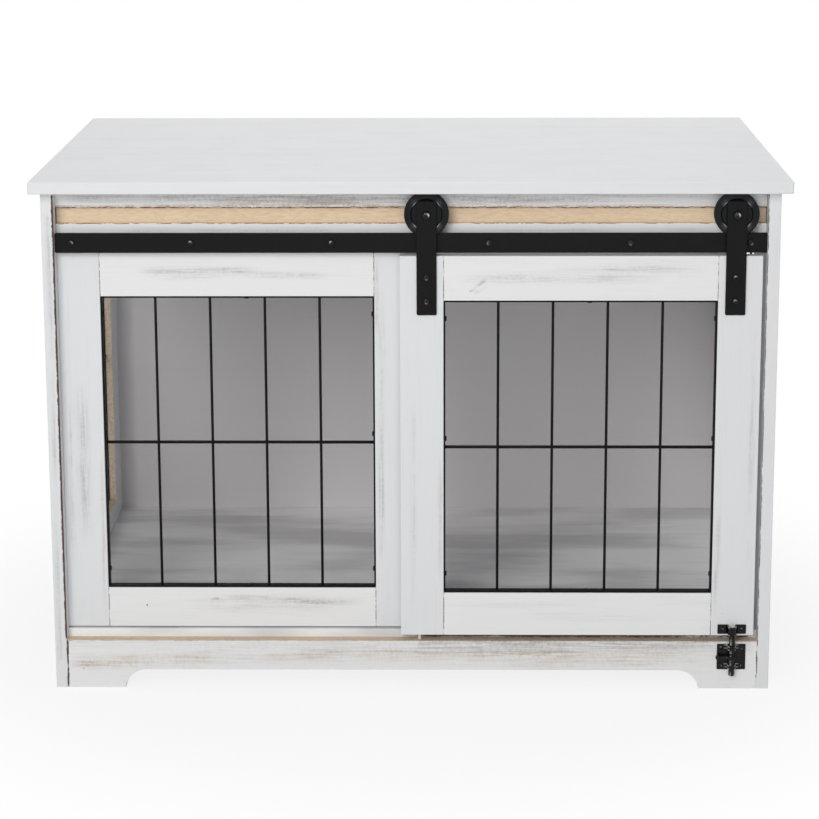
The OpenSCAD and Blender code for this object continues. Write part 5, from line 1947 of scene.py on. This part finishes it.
@dataclass
class Studio:
    """Camera at the photograph's place, soft lights, white surround and a pale floor."""

    camera_place: Place = (0.0487, -3.5100, 1.1984)
    camera_yaw: float = 0.0155
    camera_pitch: float = -0.2149
    camera_roll: float = 0.0033
    focal_pixels: float = 2534.5
    shift_down: float = 0.10
    sensor: float = 36.0
    far: float = 60.0
    floor_half: float = 9.0
    floor_seen: float = 0.84
    ambient: float = 0.25
    lamps: tuple[Lamp, ...] = (
        Lamp("key_lamp", (-1.2, -4.1, 2.2), 2.0, 104.0, (1.0, 0.995, 0.985)),
        Lamp("fill_lamp", (0.6, -3.4, 0.4), 1.4, 11.0, (0.97, 0.985, 1.0)),
        Lamp("top_lamp", (0.3, 0.2, 3.4), 2.2, 34.0),
        Lamp("back_lamp", (0.0, 3.8, 1.9), 2.2, 50.0, mirrored=False))

    def build(self) -> None:
        """Makes the camera, the world, the lights and the floor."""
        self._camera()
        self._world()
        for lamp in self.lamps:
            lamp.build()
        self._floor()

    def _camera(self) -> None:
        """Camera by place, yaw, pitch and roll; the shift only keeps the crate's place."""
        data = bpy.data.cameras.new("camera")
        data.sensor_width = self.sensor
        data.lens = self.focal_pixels * self.sensor / PHOTO_SIDE
        data.shift_y = -self.shift_down
        data.clip_end = self.far
        camera = placed("camera", data)
        turn = Matrix.Identity(3)
        for angle, axis in ((self.camera_yaw, "Z"), (self.camera_pitch, "X"),
                            (self.camera_roll, "Y"), (math.pi / 2, "X")):
            turn = turn @ Matrix.Rotation(angle, 3, axis)
        camera.matrix_world = Matrix.Translation(self.camera_place) @ turn.to_4x4()
        bpy.context.scene.camera = camera

    def _world(self) -> None:
        """White for the camera and for reflections, a plain ambient level for the rest."""
        world = bpy.data.worlds.new("surround")
        world.use_nodes = True
        g = Graph(world.node_tree)
        kind = "ShaderNodeBackground"
        ambient = g.node(kind, None, {"Color": (0.97, 0.98, 1.0), "Strength": self.ambient})
        white = g.node(kind, None, {"Color": (1.0, 1.0, 1.0), "Strength": 1.0})
        seen = g.rays("Camera", "Glossy", "Transmission")
        mix = g.node("ShaderNodeMixShader", None,
                     {0: seen, 1: ambient.outputs[0], 2: white.outputs[0]})
        g.node("ShaderNodeOutputWorld", None, {"Surface": mix.outputs[0]})
        bpy.context.scene.world = world

    def _floor(self) -> None:
        """Pale floor: white to the camera away from the crate, whose soft shadow stays."""
        f = Finish("pale_floor")
        cloud = f.noise(f.place, 0.8, 2.0)
        f.set(Base_Color=f.mix(cloud, (0.86, 0.86, 0.86), (0.84, 0.84, 0.84)))
        f.set(Roughness=0.9 + cloud * 0.05)
        f.set(Specular_IOR_Level=0.1)
        length = f.node("ShaderNodeVectorMath", {"operation": "LENGTH"}, {0: f.place})
        away = Value(f, length.outputs["Value"])
        glow = f.node("ShaderNodeEmission", None, {"Color": (1.0, 1.0, 1.0), "Strength": 1.0})
        seen = self.floor_seen + away.ramp(0.5, 0.95) * (1.0 - self.floor_seen)
        mix = f.node("ShaderNodeMixShader", None,
                     {0: f.rays("Camera", "Glossy") * seen, 1: f.shader.outputs[0],
                      2: glow.outputs[0]})
        f.feed(f.output.inputs["Surface"], mix.outputs[0])
        mesh = bpy.data.meshes.new("pale_floor")
        corners = rectangle((-self.floor_half,) * 2, (self.floor_half,) * 2)
        mesh.from_pydata([(x, y, 0.0) for x, y in corners.tolist()], [], [(0, 1, 2, 3)])
        mesh.materials.append(f.material)
        placed("pale_floor", mesh)


def main() -> None:
    """Builds the studio and the crate, piece by piece."""
    bpy.context.scene.view_settings.view_transform = "Standard"
    Studio().build()
    shop, paints = Shop(frame["record"]), Paints()
    for group in (Cabinet, FrontFrames, Bars, Hangers, BarrelBolt, BackScrews):
        LOG.info("building %s", group.__name__)
        group(shop, paints).build()


if __name__ == "__main__":
    logging.basicConfig(level=logging.INFO)
    main()
